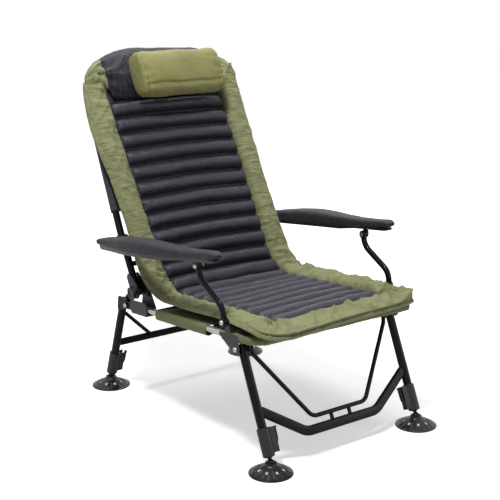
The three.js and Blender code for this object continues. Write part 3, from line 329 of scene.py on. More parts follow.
def cloth(name, colour, pitch, roughness, sheen, worn=0.16, shine=0.35, creased=0.0):
    """Woven cloth: crossing threads, uneven dye, soft creases and, where creased, longer sharp ones."""
    made, tree, shader = principled(name, **{
        "Roughness": roughness, "Sheen Weight": sheen, "Sheen Roughness": 0.4, "Specular IOR Level": shine,
    })
    where = cloth_coordinates(tree)
    place = object_coordinates(tree)
    warp = threads(tree, where, pitch, "X")
    weft = threads(tree, where, pitch, "Y")
    weave = maths(tree, "MULTIPLY", warp, weft)
    dye = noise_at(tree, place, DYE_SCALE, 4.0, 0.6)
    flecks = noise_at(tree, place, FLECK_SCALE, 2.0, 0.7)
    dye_part = maths(tree, "MULTIPLY", dye, DYE_SHARE)
    fleck_part = maths(tree, "MULTIPLY", flecks, FLECK_SHARE)
    mixed = maths(tree, "ADD", dye_part, fleck_part)
    shade = ramp(
        tree, mixed,
        (0.32, tinted(colour, 1.0 - worn)),
        (0.5, colour),
        (0.7, tinted(colour, 1.0 + worn)),
    )
    tree.links.new(shade, shader.inputs["Base Color"])
    creases = noise_at(tree, place, CREASE_SCALE, 4.0, 0.6)
    creased_normal = bumped(tree, shader, creases, CREASE_DEPTH, 0.7)
    if creased:
        stretch = {"Vector": where, "Scale": PULL_STRETCH}
        stretched = add_node(tree, "ShaderNodeMapping", stretch).outputs["Vector"]
        from_mean = maths(tree, "SUBTRACT", noise_at(tree, stretched, PULL_SCALE, 2.0, 0.5), 0.5)
        pulled = maths(tree, "ABSOLUTE", from_mean)
        creased_normal = bumped(tree, shader, pulled, creased, 1.0, creased_normal)
    bumped(tree, shader, weave, WEAVE_DEPTH, 0.6, creased_normal)
    return made


def painted(name, colour, roughness, scuffs, metallic, shine):
    """Painted or bare metal and moulded plastic: fine orange peel, uneven gloss and a few pale scuffs."""
    made, tree, shader = principled(name, **{"Metallic": metallic, "Specular IOR Level": shine})
    place = object_coordinates(tree)
    gloss = noise_at(tree, place, GLOSS_SCALE, 4.0, 0.6)
    matt = ramp(tree, gloss, (0.3, roughness - GLOSS_SPREAD), (0.72, roughness + GLOSS_SPREAD))
    tree.links.new(matt, shader.inputs["Roughness"])
    rubbed = noise_at(tree, place, SCUFF_SCALE, 5.0, 0.72)
    shade = ramp(
        tree, rubbed,
        (0.0, tinted(colour, 0.92)),
        (0.62, colour),
        (0.82, tinted(colour, 1.0 + scuffs)),
    )
    tree.links.new(shade, shader.inputs["Base Color"])
    peel = noise_at(tree, place, PEEL_SCALE, 2.0, 0.5)
    bumped(tree, shader, peel, PEEL_DEPTH, 0.4)
    return made


RIB_COLOUR = (0.0285, 0.0285, 0.0425)
HOOD_COLOUR = (0.0120, 0.0120, 0.0185)
BORDER_COLOUR = (0.245, 0.252, 0.126)
PILLOW_COLOUR = (0.245, 0.236, 0.086)
SLING_COLOUR = (0.150, 0.156, 0.066)
FOAM_COLOUR = (0.026, 0.027, 0.032)

rib_cloth = cloth("rib_cloth", RIB_COLOUR, 0.0011, 0.33, 0.06, worn=0.12, shine=0.36)
hood_cloth = cloth("hood_cloth", HOOD_COLOUR, 0.0011, 0.44, 0.06, worn=0.12, shine=0.22, creased=0.012)
border_cloth = cloth("border_cloth", BORDER_COLOUR, 0.0013, 0.62, 0.06, shine=0.2, creased=0.016)
pillow_cloth = cloth("pillow_cloth", PILLOW_COLOUR, 0.0011, 0.5, 0.08, shine=0.25)
sling_cloth = cloth("sling_cloth", SLING_COLOUR, 0.0016, 0.75, 0.08)
back_sling_cloth = cloth("back_sling_cloth", RIB_COLOUR, 0.0016, 0.7, 0.1)
arm_foam = cloth("arm_foam", FOAM_COLOUR, 0.0018, 0.55, 0.06, worn=0.1, shine=0.25)

# Name, colour, roughness, how pale its scuffs are, metallic and shine
PAINTS = (
    ("black_gloss_paint", (0.0035, 0.0035, 0.0045), 0.17, 0.9, 0.0, 0.15),
    ("dark_satin_paint", (0.0050, 0.0050, 0.0064), 0.25, 0.6, 0.0, 0.16),
    ("grey_steel", (0.040, 0.041, 0.045), 0.32, 0.35, 0.35, 0.35),
    ("bright_steel", (0.52, 0.53, 0.54), 0.28, 0.2, 0.95, 0.35),
    ("black_plastic", (0.011, 0.011, 0.0135), 0.30, 0.5, 0.0, 0.4),
    ("grey_plastic", (0.020, 0.021, 0.024), 0.42, 0.4, 0.0, 0.3),
)
finishes = {paint[0]: painted(*paint) for paint in PAINTS}

# Mattress: the run of its middle. Near is the side at -X, next to the camera, and far is the side at +X,
# which the names of pieces call left.
PAD_ABOVE = 0.0368
PAD_AHEAD = 0.032
PAD_BEND = 0.150
PAD_FRONT = 0.038
PAD_HALF_THICKNESS = 0.025
pad_turn = math.radians(90.0 - BACK_LEAN + SEAT_SLOPE)
back_up = np.array([math.cos(pad_turn), math.sin(pad_turn)])
back_ahead = np.array([-math.sin(pad_turn), math.cos(pad_turn)])
hinge_side = np.array([HINGE_ALONG, HINGE_ABOVE])
ahead_line = hinge_side + PAD_AHEAD * back_ahead
corner_up = (PAD_ABOVE - ahead_line[1]) / back_up[1]
corner_along = ahead_line[0] + corner_up * back_up[0]
pad_setback = PAD_BEND * math.tan(pad_turn / 2)
seat_run = PAD_FRONT + corner_along - pad_setback
bend_run = PAD_BEND * pad_turn
bend_end_up = corner_up + pad_setback


def up_distance(up_the_back):
    """The mattress's distance from its front at a height up the backrest."""
    return seat_run + bend_run + up_the_back - bend_end_up


def up_the_back_at(*pairs):
    """Pairs of height up the backrest and value, as pairs of distance and value."""
    return [(up_distance(height), value) for height, value in pairs]


def from_side(x, along, above):
    """World points from places across the chair, along its seat and square to it."""
    axes = np.array(seat_axes)
    return tuple(axes[i, 0] * x + axes[i, 1] * along + axes[i, 2] * above + axes[i, 3] for i in range(3))


def back_side(up_the_back, ahead):
    """Places along and above the seat of places up and ahead of the backrest."""
    along = hinge_side[0] + up_the_back * back_up[0] + ahead * back_ahead[0]
    above = hinge_side[1] + up_the_back * back_up[1] + ahead * back_ahead[1]
    return along, above


def on_pad(x, distance, height):
    """World points of the mattress from places across it, along it and out from its middle."""
    angle = np.clip((distance - seat_run) / PAD_BEND, 0.0, pad_turn)
    reach = PAD_BEND - height
    bend_along = seat_run - PAD_FRONT + reach * np.sin(angle)
    bend_above = PAD_ABOVE + PAD_BEND - reach * np.cos(angle)
    back_along, back_above = back_side(bend_end_up + distance - seat_run - bend_run, PAD_AHEAD + height)
    on_seat = distance < seat_run
    on_back = distance > seat_run + bend_run
    along = np.where(on_seat, distance - PAD_FRONT, np.where(on_back, back_along, bend_along))
    above = np.where(on_seat, PAD_ABOVE + height, np.where(on_back, back_above, bend_above))
    return from_side(x, along, above)


def on_back(x, up_the_back, ahead):
    """World points from places across the chair, up its backrest and ahead of it."""
    return from_side(x, *back_side(up_the_back, ahead))


MATTRESS_NODES = ("mattress_seat", "mattress_bend", "mattress_back")


def bend_with_back(piece):
    """Bakes a mattress piece's placement into its mesh."""
    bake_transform(piece)


# Mattress: ribbed middle
FRONT_SEAM = 0.0760
BEND_TOP_SEAM_UP = 0.077
TOP_SEAM_UP = 0.607
RIBS_BELOW = 11
RIBS_ABOVE = 10
RIB_FAR_X = 0.199
RIB_TUCK = 0.012
RIB_HEIGHT = 0.0250
RIB_FULLER_ON_BACK = 0.0030
RIB_SUNK = 0.0095
RIB_END_REACH = 0.022
RIB_EDGE_DROP = 0.006
RIB_GATHERS = 0.0016
RIB_GATHER_REACH = 0.011
RIB_PULLS = 0.0008
RIB_PULL_SHARE = 0.13
RIB_WANDER = 0.0011
RIB_TUCKED_DEPTH = 0.008
UNDERSIDE_LIFT = 0.004
UNDERSIDE_REACH = 0.02
ASKEW_REACH = 0.30
RIB_ARCH = 0.007
RIB_RIDGE_START = 0.87
RIB_SHARES = (0, 0.02, 0.06, 0.13, 0.22, 0.34, 0.46, 0.58, 0.69, 0.78, 0.84, 0.87, 0.90, 0.935, 0.97)

seams = np.concatenate([
    np.linspace(FRONT_SEAM, up_distance(BEND_TOP_SEAM_UP), RIBS_BELOW + 1)[:-1],
    np.linspace(up_distance(BEND_TOP_SEAM_UP), up_distance(TOP_SEAM_UP), RIBS_ABOVE + 1),
])
rib_rows = []
rib_shares = []
for first, second in zip(seams[:-1], seams[1:]):
    for share in RIB_SHARES:
        rib_rows.append(first + (second - first) * share)
        rib_shares.append(share)
rib_rows = np.array([
    seams[0] - 0.02, seams[0] - 0.01, *rib_rows, seams[-1], seams[-1] + 0.018, seams[-1] + 0.038,
])
rib_shares = np.array([0, 0, *rib_shares, 0, 0, 0])
rib_tuck = np.array([1, 0.4] + [0] * (len(rib_rows) - 5) + [0, 0.4, 1])


def rib_near(distance):
    """Where the ribs end on the near side, at a distance along the mattress."""
    return level_at(distance, (0.05, -0.214), (seat_run, -0.203), *up_the_back_at(
        (0.10, -0.201), (0.22, -0.207), (0.34, -0.213), (0.50, -0.220), (0.64, -0.226),
    ))


def rib_far(distance):
    """Where the ribs end on the far side."""
    return level_at(
        distance, (0.05, 0.196), (seat_run, 0.203), *up_the_back_at((0.40, 0.203), (0.59, 0.196)),
    )


def front_shift(x, distance):
    """How far the seat's front edge and first ribs run askew."""
    askew = level_at(
        x, (-0.300, -0.034), (-0.209, -0.025), (-0.103, -0.012), (-0.027, 0.0), (0.021, 0.003),
        (0.138, 0.009), (0.202, 0.014), (0.246, 0.022), (0.285, 0.036),
    )
    return askew * smoothstep(1 - distance / ASKEW_REACH)


def rib_profile(share):
    """Height of one rib over its pitch: a full roll and the thin ridge sewn beside it."""
    roll = (1 - np.abs(2 * np.clip(share / RIB_RIDGE_START, 0, 1) - 1) ** 2.3) ** 0.62
    ridge = np.sin(np.pi * np.clip((share - RIB_RIDGE_START) / (1 - RIB_RIDGE_START), 0, 1))
    return roll + 0.24 * ridge


TOP_COLUMNS = 96
BOTTOM_COLUMNS = 24
rib_top_across = np.linspace(-1, 1, TOP_COLUMNS + 1)
rib_top_across = np.sign(rib_top_across) * (1 - (1 - np.abs(rib_top_across)) ** 1.35)
rib_ring_across = np.concatenate([rib_top_across, np.linspace(1, -1, BOTTOM_COLUMNS + 1)])
rib_ring_top = np.array([1.0] * (TOP_COLUMNS + 1) + [0.0] * (BOTTOM_COLUMNS + 1))


def place_ribs(u, v):
    """World points of the ribbed middle, whose columns run over its top and back along its underside."""
    column = grid_step(u, len(rib_ring_across) - 1)
    row = grid_step(v, len(rib_rows) - 1)
    across, top = rib_ring_across[column], rib_ring_top[column]
    distance, share, tuck = rib_rows[row], rib_shares[row], rib_tuck[row]
    near_edge, far_edge = rib_near(distance), rib_far(distance)
    middle = (near_edge + far_edge) / 2
    half = (far_edge - near_edge) / 2 + RIB_TUCK
    x = middle + across * half
    from_edge = half * (1 - np.abs(across))
    on_backrest = smoothstep((distance - seat_run) / bend_run)
    rib_height = RIB_HEIGHT + RIB_FULLER_ON_BACK * on_backrest
    end_round = quarter_round((from_edge - RIB_TUCK) / RIB_END_REACH)
    gathers = np.exp(-np.clip(from_edge - RIB_TUCK, 0, 1) / RIB_GATHER_REACH)
    roll = rib_profile(share)
    plump = 1 + 0.10 * ruffle(x / 0.11, distance / 0.06, 3) + 0.05 * ruffle(x / 0.035, distance / 0.05, 5)
    height = rib_height * roll * end_round * plump
    height = height + RIB_GATHERS * gathers * ruffle(x / 0.05, distance / 0.0065, 7) * (0.3 + roll)
    to_seam = np.minimum(share, RIB_RIDGE_START - np.minimum(share, RIB_RIDGE_START))
    pulls = np.exp(-to_seam / RIB_PULL_SHARE)
    height = height + RIB_PULLS * pulls * ruffle(x / 0.012, distance / 0.02, 11) * end_round
    height = height - RIB_SUNK * end_round - RIB_EDGE_DROP * np.clip(1 - from_edge / RIB_TUCK, 0, 1)
    under = -PAD_HALF_THICKNESS + UNDERSIDE_LIFT * np.clip(1 - from_edge / UNDERSIDE_REACH, 0, 1)
    surface = np.where(top > 0, height, under)
    surface = surface * (1 - tuck) - RIB_TUCKED_DEPTH * tuck
    arch = RIB_ARCH * across**2 * (1 - tuck)
    wander = RIB_WANDER * ruffle(x / 0.07, distance / 0.053, 17)
    return on_pad(x, distance - arch + wander + front_shift(x, distance), surface)


rib_length = rib_rows[-1] - rib_rows[0]
ribs = finish_mesh(
    "mattress_ribs",
    formed(len(rib_ring_across) - 1, len(rib_rows) - 1, place_ribs, cut=(0.9, rib_length)),
    rib_cloth, None, MATTRESS_NODES,
)
bend_with_back(ribs)

# Mattress: padded border
SIDE_SECTION = (
    (0.00, -0.003), (0.025, 0.008), (0.10, 0.018), (0.25, 0.0245), (0.42, 0.026), (0.60, 0.0245),
    (0.74, 0.020), (0.815, 0.0145), (0.85, 0.0108), (0.90, 0.0098), (0.965, 0.0035), (1.00, -0.006),
    (0.985, -0.0125), (0.90, -0.0165), (0.60, -0.0245), (0.15, -0.025), (-0.02, -0.0125),
)
FRONT_SECTION = (
    (0.00, -0.003), (0.02, 0.001), (0.08, 0.0045), (0.20, 0.0070), (0.36, 0.0070), (0.56, 0.0045),
    (0.78, 0.0000), (0.94, -0.0050), (1.00, -0.0090), (0.955, -0.0130), (1.010, -0.0190), (0.990, -0.0255),
    (0.93, -0.0275), (0.80, -0.0260), (0.60, -0.0250), (0.15, -0.0245), (-0.02, -0.0125),
)
SECTION_ROWS = 60
PIPING_SHARE = 8 / 17
NEAR_EDGE_X = -0.284
FAR_EDGE_X = 0.284
FRONT_EDGE = -0.008
NEAR_CORNER = 0.080
FAR_CORNER = 0.014
NEAR_TOP_UP = 0.668
FAR_TOP_UP = 0.704
BORDER_STEP = 0.0045
BORDER_CUT_ACROSS = 0.24
BORDER_CORNER_STEPS = 24
FRONT_BLEND = 0.13
PUCKERS = 0.0022
PUCKERS_NEAR = 0.0022
PUCKERS_BEND = 0.0066
PUCKERS_FRONT = 0.0040
PUCKERS_TOP = 0.0042
PUCKERS_FAR_SEAT = 0.0040
PUCKERS_SEAT = 0.0010
FOLD_MEAN = 0.30
BORDER_SWELL = 0.0024
BORDER_FINE = 0.0006
SEAM_GATHERS = 0.0030
FLAT_TOP_SHARE = 0.48
FLAT_UNDER_SHARE = 0.80
TIP_START_X = 0.20
TIP_REACH_X = 0.085
TIP_REACH = 0.10
TIP_LIFT = 0.022
BULGE = 0.0026
BORDER_END_REACH = 0.014
BORDER_END_HEIGHT = 0.002

side_ring = through(SIDE_SECTION, SECTION_ROWS)
front_ring = through(FRONT_SECTION, SECTION_ROWS)


def border_route():
    """Outer edge of the border in the mattress's plane, from near top round the front to far top."""
    points = []
    near_bend, far_bend = FRONT_EDGE + NEAR_CORNER, FRONT_EDGE + FAR_CORNER
    for distance in np.linspace(up_distance(NEAR_TOP_UP), near_bend, 300, endpoint=False):
        points.append((NEAR_EDGE_X, distance))
    for angle in np.linspace(0, math.pi / 2, BORDER_CORNER_STEPS, endpoint=False):
        points.append((
            NEAR_EDGE_X + NEAR_CORNER * (1 - math.cos(angle)),
            near_bend - NEAR_CORNER * math.sin(angle),
        ))
    for x in np.linspace(NEAR_EDGE_X + NEAR_CORNER, FAR_EDGE_X - FAR_CORNER, 120, endpoint=False):
        points.append((x, FRONT_EDGE))
    for angle in np.linspace(0, math.pi / 2, BORDER_CORNER_STEPS, endpoint=False):
        points.append((
            FAR_EDGE_X - FAR_CORNER * (1 - math.sin(angle)),
            far_bend - FAR_CORNER * math.cos(angle),
        ))
    for distance in np.linspace(far_bend, up_distance(FAR_TOP_UP), 301):
        points.append((FAR_EDGE_X, distance))
    return np.array(points)


outer_route = border_route()
route_length = lengths_along(outer_route)
border_stations = int(route_length[-1] / BORDER_STEP)
station_length = np.linspace(0.0, route_length[-1], border_stations + 1)
outer_x = np.interp(station_length, route_length, outer_route[:, 0])
outer_d = np.interp(station_length, route_length, outer_route[:, 1])
near_wander = level_at(
    outer_d, (0.0, -0.006), (0.05, -0.013), (0.114, -0.010), (0.17, -0.001), (0.24, 0.010), (0.36, 0.005),
    (seat_run, 0.010), *up_the_back_at(
        (0.09, 0.001), (0.18, 0.003), (0.22, 0.003), (0.29, -0.002), (0.36, -0.006), (0.42, -0.016),
        (0.47, -0.022), (0.52, -0.025), (0.57, -0.023), (0.62, -0.017), (0.66, -0.009),
    ),
)
far_wander = level_at(outer_d, (0.10, 0.0), (seat_run, 0.005), *up_the_back_at(
    (0.06, 0.006), (0.12, 0.001), (0.30, -0.004), (0.44, -0.001), (0.60, 0.002),
))
outer_x = outer_x + np.where(outer_x < 0, near_wander, far_wander) * smoothstep(outer_d / 0.06)
inner_x = np.clip(outer_x, rib_near(outer_d), rib_far(outer_d))
inner_d = np.maximum(outer_d, FRONT_SEAM)
front_share = smoothstep(1 - (outer_d - FRONT_EDGE) / FRONT_BLEND)


def border_point(station, row):
    """World points of the border at stations along it and rows round its section."""
    weight = front_share[station][..., None]
    section = side_ring[row] * (1 - weight) + front_ring[row] * weight
    across, height = section[..., 0], section[..., 1]
    length = station_length[station]
    round_share = row / SECTION_ROWS
    distance = outer_d[station]
    crown = np.clip(np.sin(np.pi * np.clip(round_share / PIPING_SHARE, 0, 1)), 0, 1)
    band = bump(round_share, PIPING_SHARE + 0.09, 0.12)
    seat_part = smoothstep(1 - distance / seat_run)
    puckers = (
        PUCKERS + PUCKERS_NEAR * (outer_x[station] < 0)
        + PUCKERS_BEND * bump(distance, seat_run + 0.45 * bend_run, 0.17)
        + PUCKERS_FRONT * bump(distance, FRONT_EDGE + 0.03, 0.08)
        + PUCKERS_TOP * smoothstep((distance - up_distance(0.58)) / 0.08)
        + PUCKERS_FAR_SEAT * (outer_x[station] > 0) * np.where(distance < seat_run, 1.0, 0.0)
        + PUCKERS_SEAT * seat_part
    )
    slant = length / 0.031 + 1.8 * across
    crease = folds(slant, across * 1.1 + 4, 21) - FOLD_MEAN
    second = folds(length / 0.041 - 2.3 * across, across * 1.7, 33) - FOLD_MEAN
    swell = ruffle(length / 0.085, across * 1.5, 23)
    fine = ruffle(length / 0.011, across * 5.0, 25)
    lift = crown * (puckers * (1.7 * crease + 1.0 * second) + BORDER_SWELL * swell + BORDER_FINE * fine)
    near_seam = bump(round_share, 0.07, 0.11) * (1 - weight[..., 0])
    lift = lift + near_seam * SEAM_GATHERS * (folds(length / 0.016, across * 3.0, 27) - 0.4)
    lift = lift * (1 - weight[..., 0] * smoothstep(1 - across / 0.35))
    on_near_side = (outer_x[station] < 0) * 1.0
    flat = on_near_side * level_at(
        distance, (0.03, 0.0), (0.12, 0.8), (seat_run, 0.9), *up_the_back_at((0.15, 0.5), (0.66, 0.5)),
    )
    flattening = np.where(height > 0, FLAT_TOP_SHARE, FLAT_UNDER_SHARE)
    height = height * (1 - flattening * flat)
    tip_across = smoothstep((outer_x[station] - TIP_START_X) / TIP_REACH_X)
    tip = tip_across * smoothstep(1 - (distance - FRONT_EDGE) / TIP_REACH)
    height = height + lift + TIP_LIFT * tip * across**2 * (round_share <= PIPING_SHARE + 0.03)
    bulge = band * (BULGE * ruffle(length / 0.03, 0.3, 29) + 0.7 * puckers * crease)
    reach_x = outer_x[station] - inner_x[station]
    reach_d = outer_d[station] - inner_d[station]
    reach = np.maximum(np.hypot(reach_x, reach_d), 1e-4)
    across = across + bulge / reach
    x = inner_x[station] + reach_x * across
    distance = inner_d[station] + reach_d * across
    return x, distance + front_shift(x, distance), height


from_end = np.minimum(station_length, station_length[-1] - station_length)


def place_border(u, v):
    """World points of the border, closed at both its ends."""
    station = grid_step(u, border_stations)
    row = grid_step(v, SECTION_ROWS) % SECTION_ROWS
    x, distance, height = border_point(station, row)
    closed = smoothstep(1 - from_end[station] / BORDER_END_REACH)
    height = height * (1 - closed) + BORDER_END_HEIGHT * closed
    return on_pad(x, distance, height)


border = finish_mesh(
    "mattress_border",
    formed(border_stations, SECTION_ROWS, place_border, cut=(route_length[-1], BORDER_CUT_ACROSS)),
    border_cloth, None, MATTRESS_NODES,
)
bend_with_back(border)

# Mattress: hood over the back frame's top
HOOD_SECTION = (
    (0.600, 0.026), (0.611, 0.041), (0.640, 0.050), (0.690, 0.050), (0.735, 0.045), (0.765, 0.031),
    (0.776, 0.010), (0.772, -0.014), (0.752, -0.031), (0.705, -0.033), (0.655, -0.032), (0.640, -0.028),
    (0.652, -0.010), (0.640, 0.004), (0.612, 0.008), (0.600, 0.016),
)
HOOD_ROWS = 96
HOOD_COLUMNS = 150
HOOD_NEAR_X = -0.292
HOOD_FAR_X = 0.290
HOOD_SEAM_X = -0.214
HOOD_CUT = (0.6, 0.42)
HOOD_BASE_UP = 0.600
HOOD_TOP_UP = 0.776
HOOD_CLOTH_REACH = 0.016
HOOD_TOP_LINE = (
    (-0.292, 0.672), (-0.283, 0.698), (-0.262, 0.721), (-0.240, 0.742), (-0.214, 0.752), (-0.179, 0.766),
    (-0.140, 0.775), (-0.085, 0.783), (0.028, 0.784), (0.145, 0.777), (0.204, 0.760), (0.250, 0.734),
    (0.280, 0.706), (0.290, 0.680),
)
HOOD_BASE_LINE = (
    (-0.301, 0.652), (-0.240, 0.648), (-0.216, 0.640), (-0.205, 0.606), (-0.150, 0.600),
    (0.180, 0.600), (0.204, 0.612), (0.292, 0.634),
)
HOOD_END_SHARE = 0.06
HOOD_FOLD_MEAN = 0.4
HOOD_GATHERS = 0.0165
HOOD_GATHER_REACH = 0.060
HOOD_NEAR_CRUMPLE = 0.0170
HOOD_NEAR_CRUMPLE_X = -0.250
HOOD_FAR_CRUMPLE = 0.0140
HOOD_FAR_CRUMPLE_X = 0.245
HOOD_SWELL = 0.0048
HOOD_FINE = 0.0012
HOOD_SEAM_DEPTH = 0.0035
HOOD_SEAM_REACH = 0.006
HOOD_RIDGE = 0.0035
HOOD_TUCK_SLOPE = 0.62
HOOD_TUCK_AHEAD = 0.038
HOOD_TUCK_MOST = 0.054
hood_ring = through(HOOD_SECTION, HOOD_ROWS)


def place_hood(u, v):
    """World points of the hood, gathered at its seam, crumpled at its ends and drawn in behind."""
    row = grid_step(v, HOOD_ROWS) % HOOD_ROWS
    x = HOOD_NEAR_X + (HOOD_FAR_X - HOOD_NEAR_X) * u
    section = hood_ring[row]
    share = (section[:, 0] - HOOD_BASE_UP) / (HOOD_TOP_UP - HOOD_BASE_UP)
    top = level_at(x, *HOOD_TOP_LINE)
    base = level_at(x, *HOOD_BASE_LINE)
    end = quarter_round(np.minimum(u, 1 - u) / HOOD_END_SHARE)
    front = np.where(section[:, 1] > 0, 1.0, 0.0) * bump(share, 0.5, 0.62)
    ray_width = 0.013 + 0.10 * np.clip(x + 0.26, 0, 1)
    radiating = folds((section[:, 0] - 0.700) / ray_width, x / 0.09, 41) - HOOD_FOLD_MEAN
    gathers = HOOD_GATHERS * np.exp(-np.abs(x - HOOD_SEAM_X - 0.010) / HOOD_GATHER_REACH) * radiating
    near_folds = folds(x / 0.024 + share, share * 5.5, 43) - HOOD_FOLD_MEAN
    near_crumple = HOOD_NEAR_CRUMPLE * bump(x, HOOD_NEAR_CRUMPLE_X, 0.07) * near_folds
    far_folds = folds(x / 0.022, share * 4.5, 45) - HOOD_FOLD_MEAN
    far_crumple = HOOD_FAR_CRUMPLE * bump(x, HOOD_FAR_CRUMPLE_X, 0.06) * far_folds
    broad = HOOD_SWELL * ruffle(x / 0.07, share * 2.5, 47) + HOOD_FINE * ruffle(x / 0.02, share * 8, 49)
    seam = -HOOD_SEAM_DEPTH * bump(x, HOOD_SEAM_X, HOOD_SEAM_REACH)
    ahead = section[:, 1] * (0.35 + 0.65 * end)
    ahead = ahead + front * (gathers + near_crumple + far_crumple + broad + seam)
    ridge = HOOD_RIDGE * ruffle(x / 0.06, 0.7, 51) * smoothstep((share - 0.5) * 2)
    tuck = HOOD_TUCK_SLOPE * np.clip(HOOD_TUCK_AHEAD - ahead, 0, HOOD_TUCK_MOST)
    inward = tuck * smoothstep((np.abs(x) - 0.13) / 0.13)
    return on_back(x - np.sign(x) * inward, base + share * (top - base) + ridge, ahead)


hood_bm = formed(HOOD_COLUMNS, HOOD_ROWS, place_hood, cut=HOOD_CUT)
hood_cut = hood_bm.loops.layers.uv.active
for face in hood_bm.faces:
    cut_across = sum(loop[hood_cut].uv.x for loop in face.loops) / len(face.loops)
    across = HOOD_NEAR_X + (HOOD_FAR_X - HOOD_NEAR_X) * cut_across / HOOD_CUT[0]
    face.material_index = 0 if HOOD_SEAM_X < across < RIB_FAR_X + HOOD_CLOTH_REACH else 1
hood = finish_mesh("mattress_hood", hood_bm, [hood_cloth, border_cloth], "backrest", MATTRESS_NODES)


# Bars, tubes and piping
RIM_SHARE = 0.18
RIM_MOST = 0.0012


def bent_route(corners, radii, steps=8):
    """Points along straight runs joined by round bends."""
    corners = [Vector(corner) for corner in corners]
    if not isinstance(radii, (list, tuple)):
        radii = [radii] * (len(corners) - 2)
    points = [corners[0]]
    for index, radius in enumerate(radii, start=1):
        before = (corners[index] - corners[index - 1]).normalized()
        after = (corners[index + 1] - corners[index]).normalized()
        turn = before.angle(after)
        if turn < 1e-4 or radius == 0:
            points.append(corners[index])
            continue
        inward = (after - before * math.cos(turn)).normalized()
        start = corners[index] - before * radius * math.tan(turn / 2)
        for step in range(steps + 1):
            angle = turn * step / steps
            points.append(start + before * radius * math.sin(angle) + inward * radius * (1 - math.cos(angle)))
    points.append(corners[-1])
    return points


def route_axes(points, square):
    """Axes at each point of a route: its first axis held square to the route, its third along it."""
    axes = []
    for index, point in enumerate(points):
        before = points[index] - points[max(index - 1, 0)]
        after = points[min(index + 1, len(points) - 1)] - points[index]
        heading = (before.normalized() + after.normalized()).normalized()
        first = (square - heading * square.dot(heading)).normalized()
        second = heading.cross(first)
        turn = Matrix((first, second, heading)).transposed().to_4x4()
        axes.append(Matrix.Translation(point) @ turn)
    return axes


def swept(points, half_first, half_second, square=Vector((1, 0, 0)), sides=28):
    """A round or oval bar drawn along a route by extruding its end ring from point to point."""
    bm = bmesh.new()
    bmesh.ops.create_circle(bm, segments=sides, radius=1.0, cap_ends=False)
    for vert in bm.verts:
        if half_second > half_first:
            vert.co.y += math.copysign(min(abs(vert.co.y) * 4, 1), vert.co.y) * (half_second / half_first - 1)
    axes = route_axes(points, square)
    scale = Matrix.Scale(half_first, 4)
    bmesh.ops.transform(bm, matrix=axes[0] @ scale, verts=bm.verts)
    ring = list(bm.edges)
    for index in range(1, len(axes)):
        grown = bmesh.ops.extrude_edge_only(bm, edges=ring)["geom"]
        ring = [item for item in grown if isinstance(item, bmesh.types.BMEdge)]
        verts = [item for item in grown if isinstance(item, bmesh.types.BMVert)]
        move = axes[index] @ axes[index - 1].inverted()
        bmesh.ops.transform(bm, matrix=move, verts=verts)
    open_edges = [edge for edge in bm.edges if edge.is_boundary]
    bmesh.ops.holes_fill(bm, edges=open_edges, sides=0)
    caps = [face for face in bm.faces if len(face.verts) > 4]
    rims = list({edge for face in caps for edge in face.edges})
    bmesh.ops.bevel(
        bm, geom=rims, offset=min(half_first * RIM_SHARE, RIM_MOST), affect="EDGES", segments=2,
        profile=0.5, material=-1,
    )
    return bm


def mirrored(bm):
    """A bmesh's mirror image across the chair's middle, in place."""
    bmesh.ops.scale(bm, vec=(-1, 1, 1), verts=bm.verts)
    return bm


def for_side(side, bm):
    """A bmesh made for the left side, as it is there and mirrored on the right."""
    return mirrored(bm) if side == "right" else bm


def piping_route():
    """A route along the border at the piping's place round its section, over every other station."""
    stations = np.arange(0, border_stations + 1, 2)
    rows = np.full(len(stations), int(round(PIPING_SHARE * SECTION_ROWS)))
    return [Vector(point) for point in zip(*on_pad(*border_point(stations, rows)))]


PIPING_RADIUS = 0.0021
piping = finish_mesh(
    "mattress_piping",
    swept(piping_route(), PIPING_RADIUS, PIPING_RADIUS, sides=8),
    border_cloth, None, MATTRESS_NODES,
)
bend_with_back(piping)

# Pillow
PILLOW_UP = 0.654
PILLOW_AHEAD = 0.1015
PILLOW_OFFSET = 0.012
PILLOW_HALF_WIDTH = 0.1535
PILLOW_HALF_HEIGHT = 0.074
PILLOW_HALF_DEPTH = 0.042
PILLOW_COLUMNS = 110
PILLOW_ROWS = 84
PILLOW_CREASE_UP = -0.047
PILLOW_CREASE_DEPTH = 0.0060
PILLOW_CUT = (0.34, 0.38)
PILLOW_END_REACH = 0.030
PILLOW_END_SHARE = 0.20
PILLOW_TIP_REACH = 0.004
PILLOW_PINCH = 0.0090
PILLOW_PINCHES = ((1, -0.004, 0.009), (0.7, 0.034, 0.007), (0.6, -0.030, 0.006))
PILLOW_PUCKERS = 0.0012
PILLOW_PIPING = 0.0016
PILLOW_SEAM_DEPTH = 0.0030
PILLOW_SWELL = 0.0030
PILLOW_FINE = 0.0010


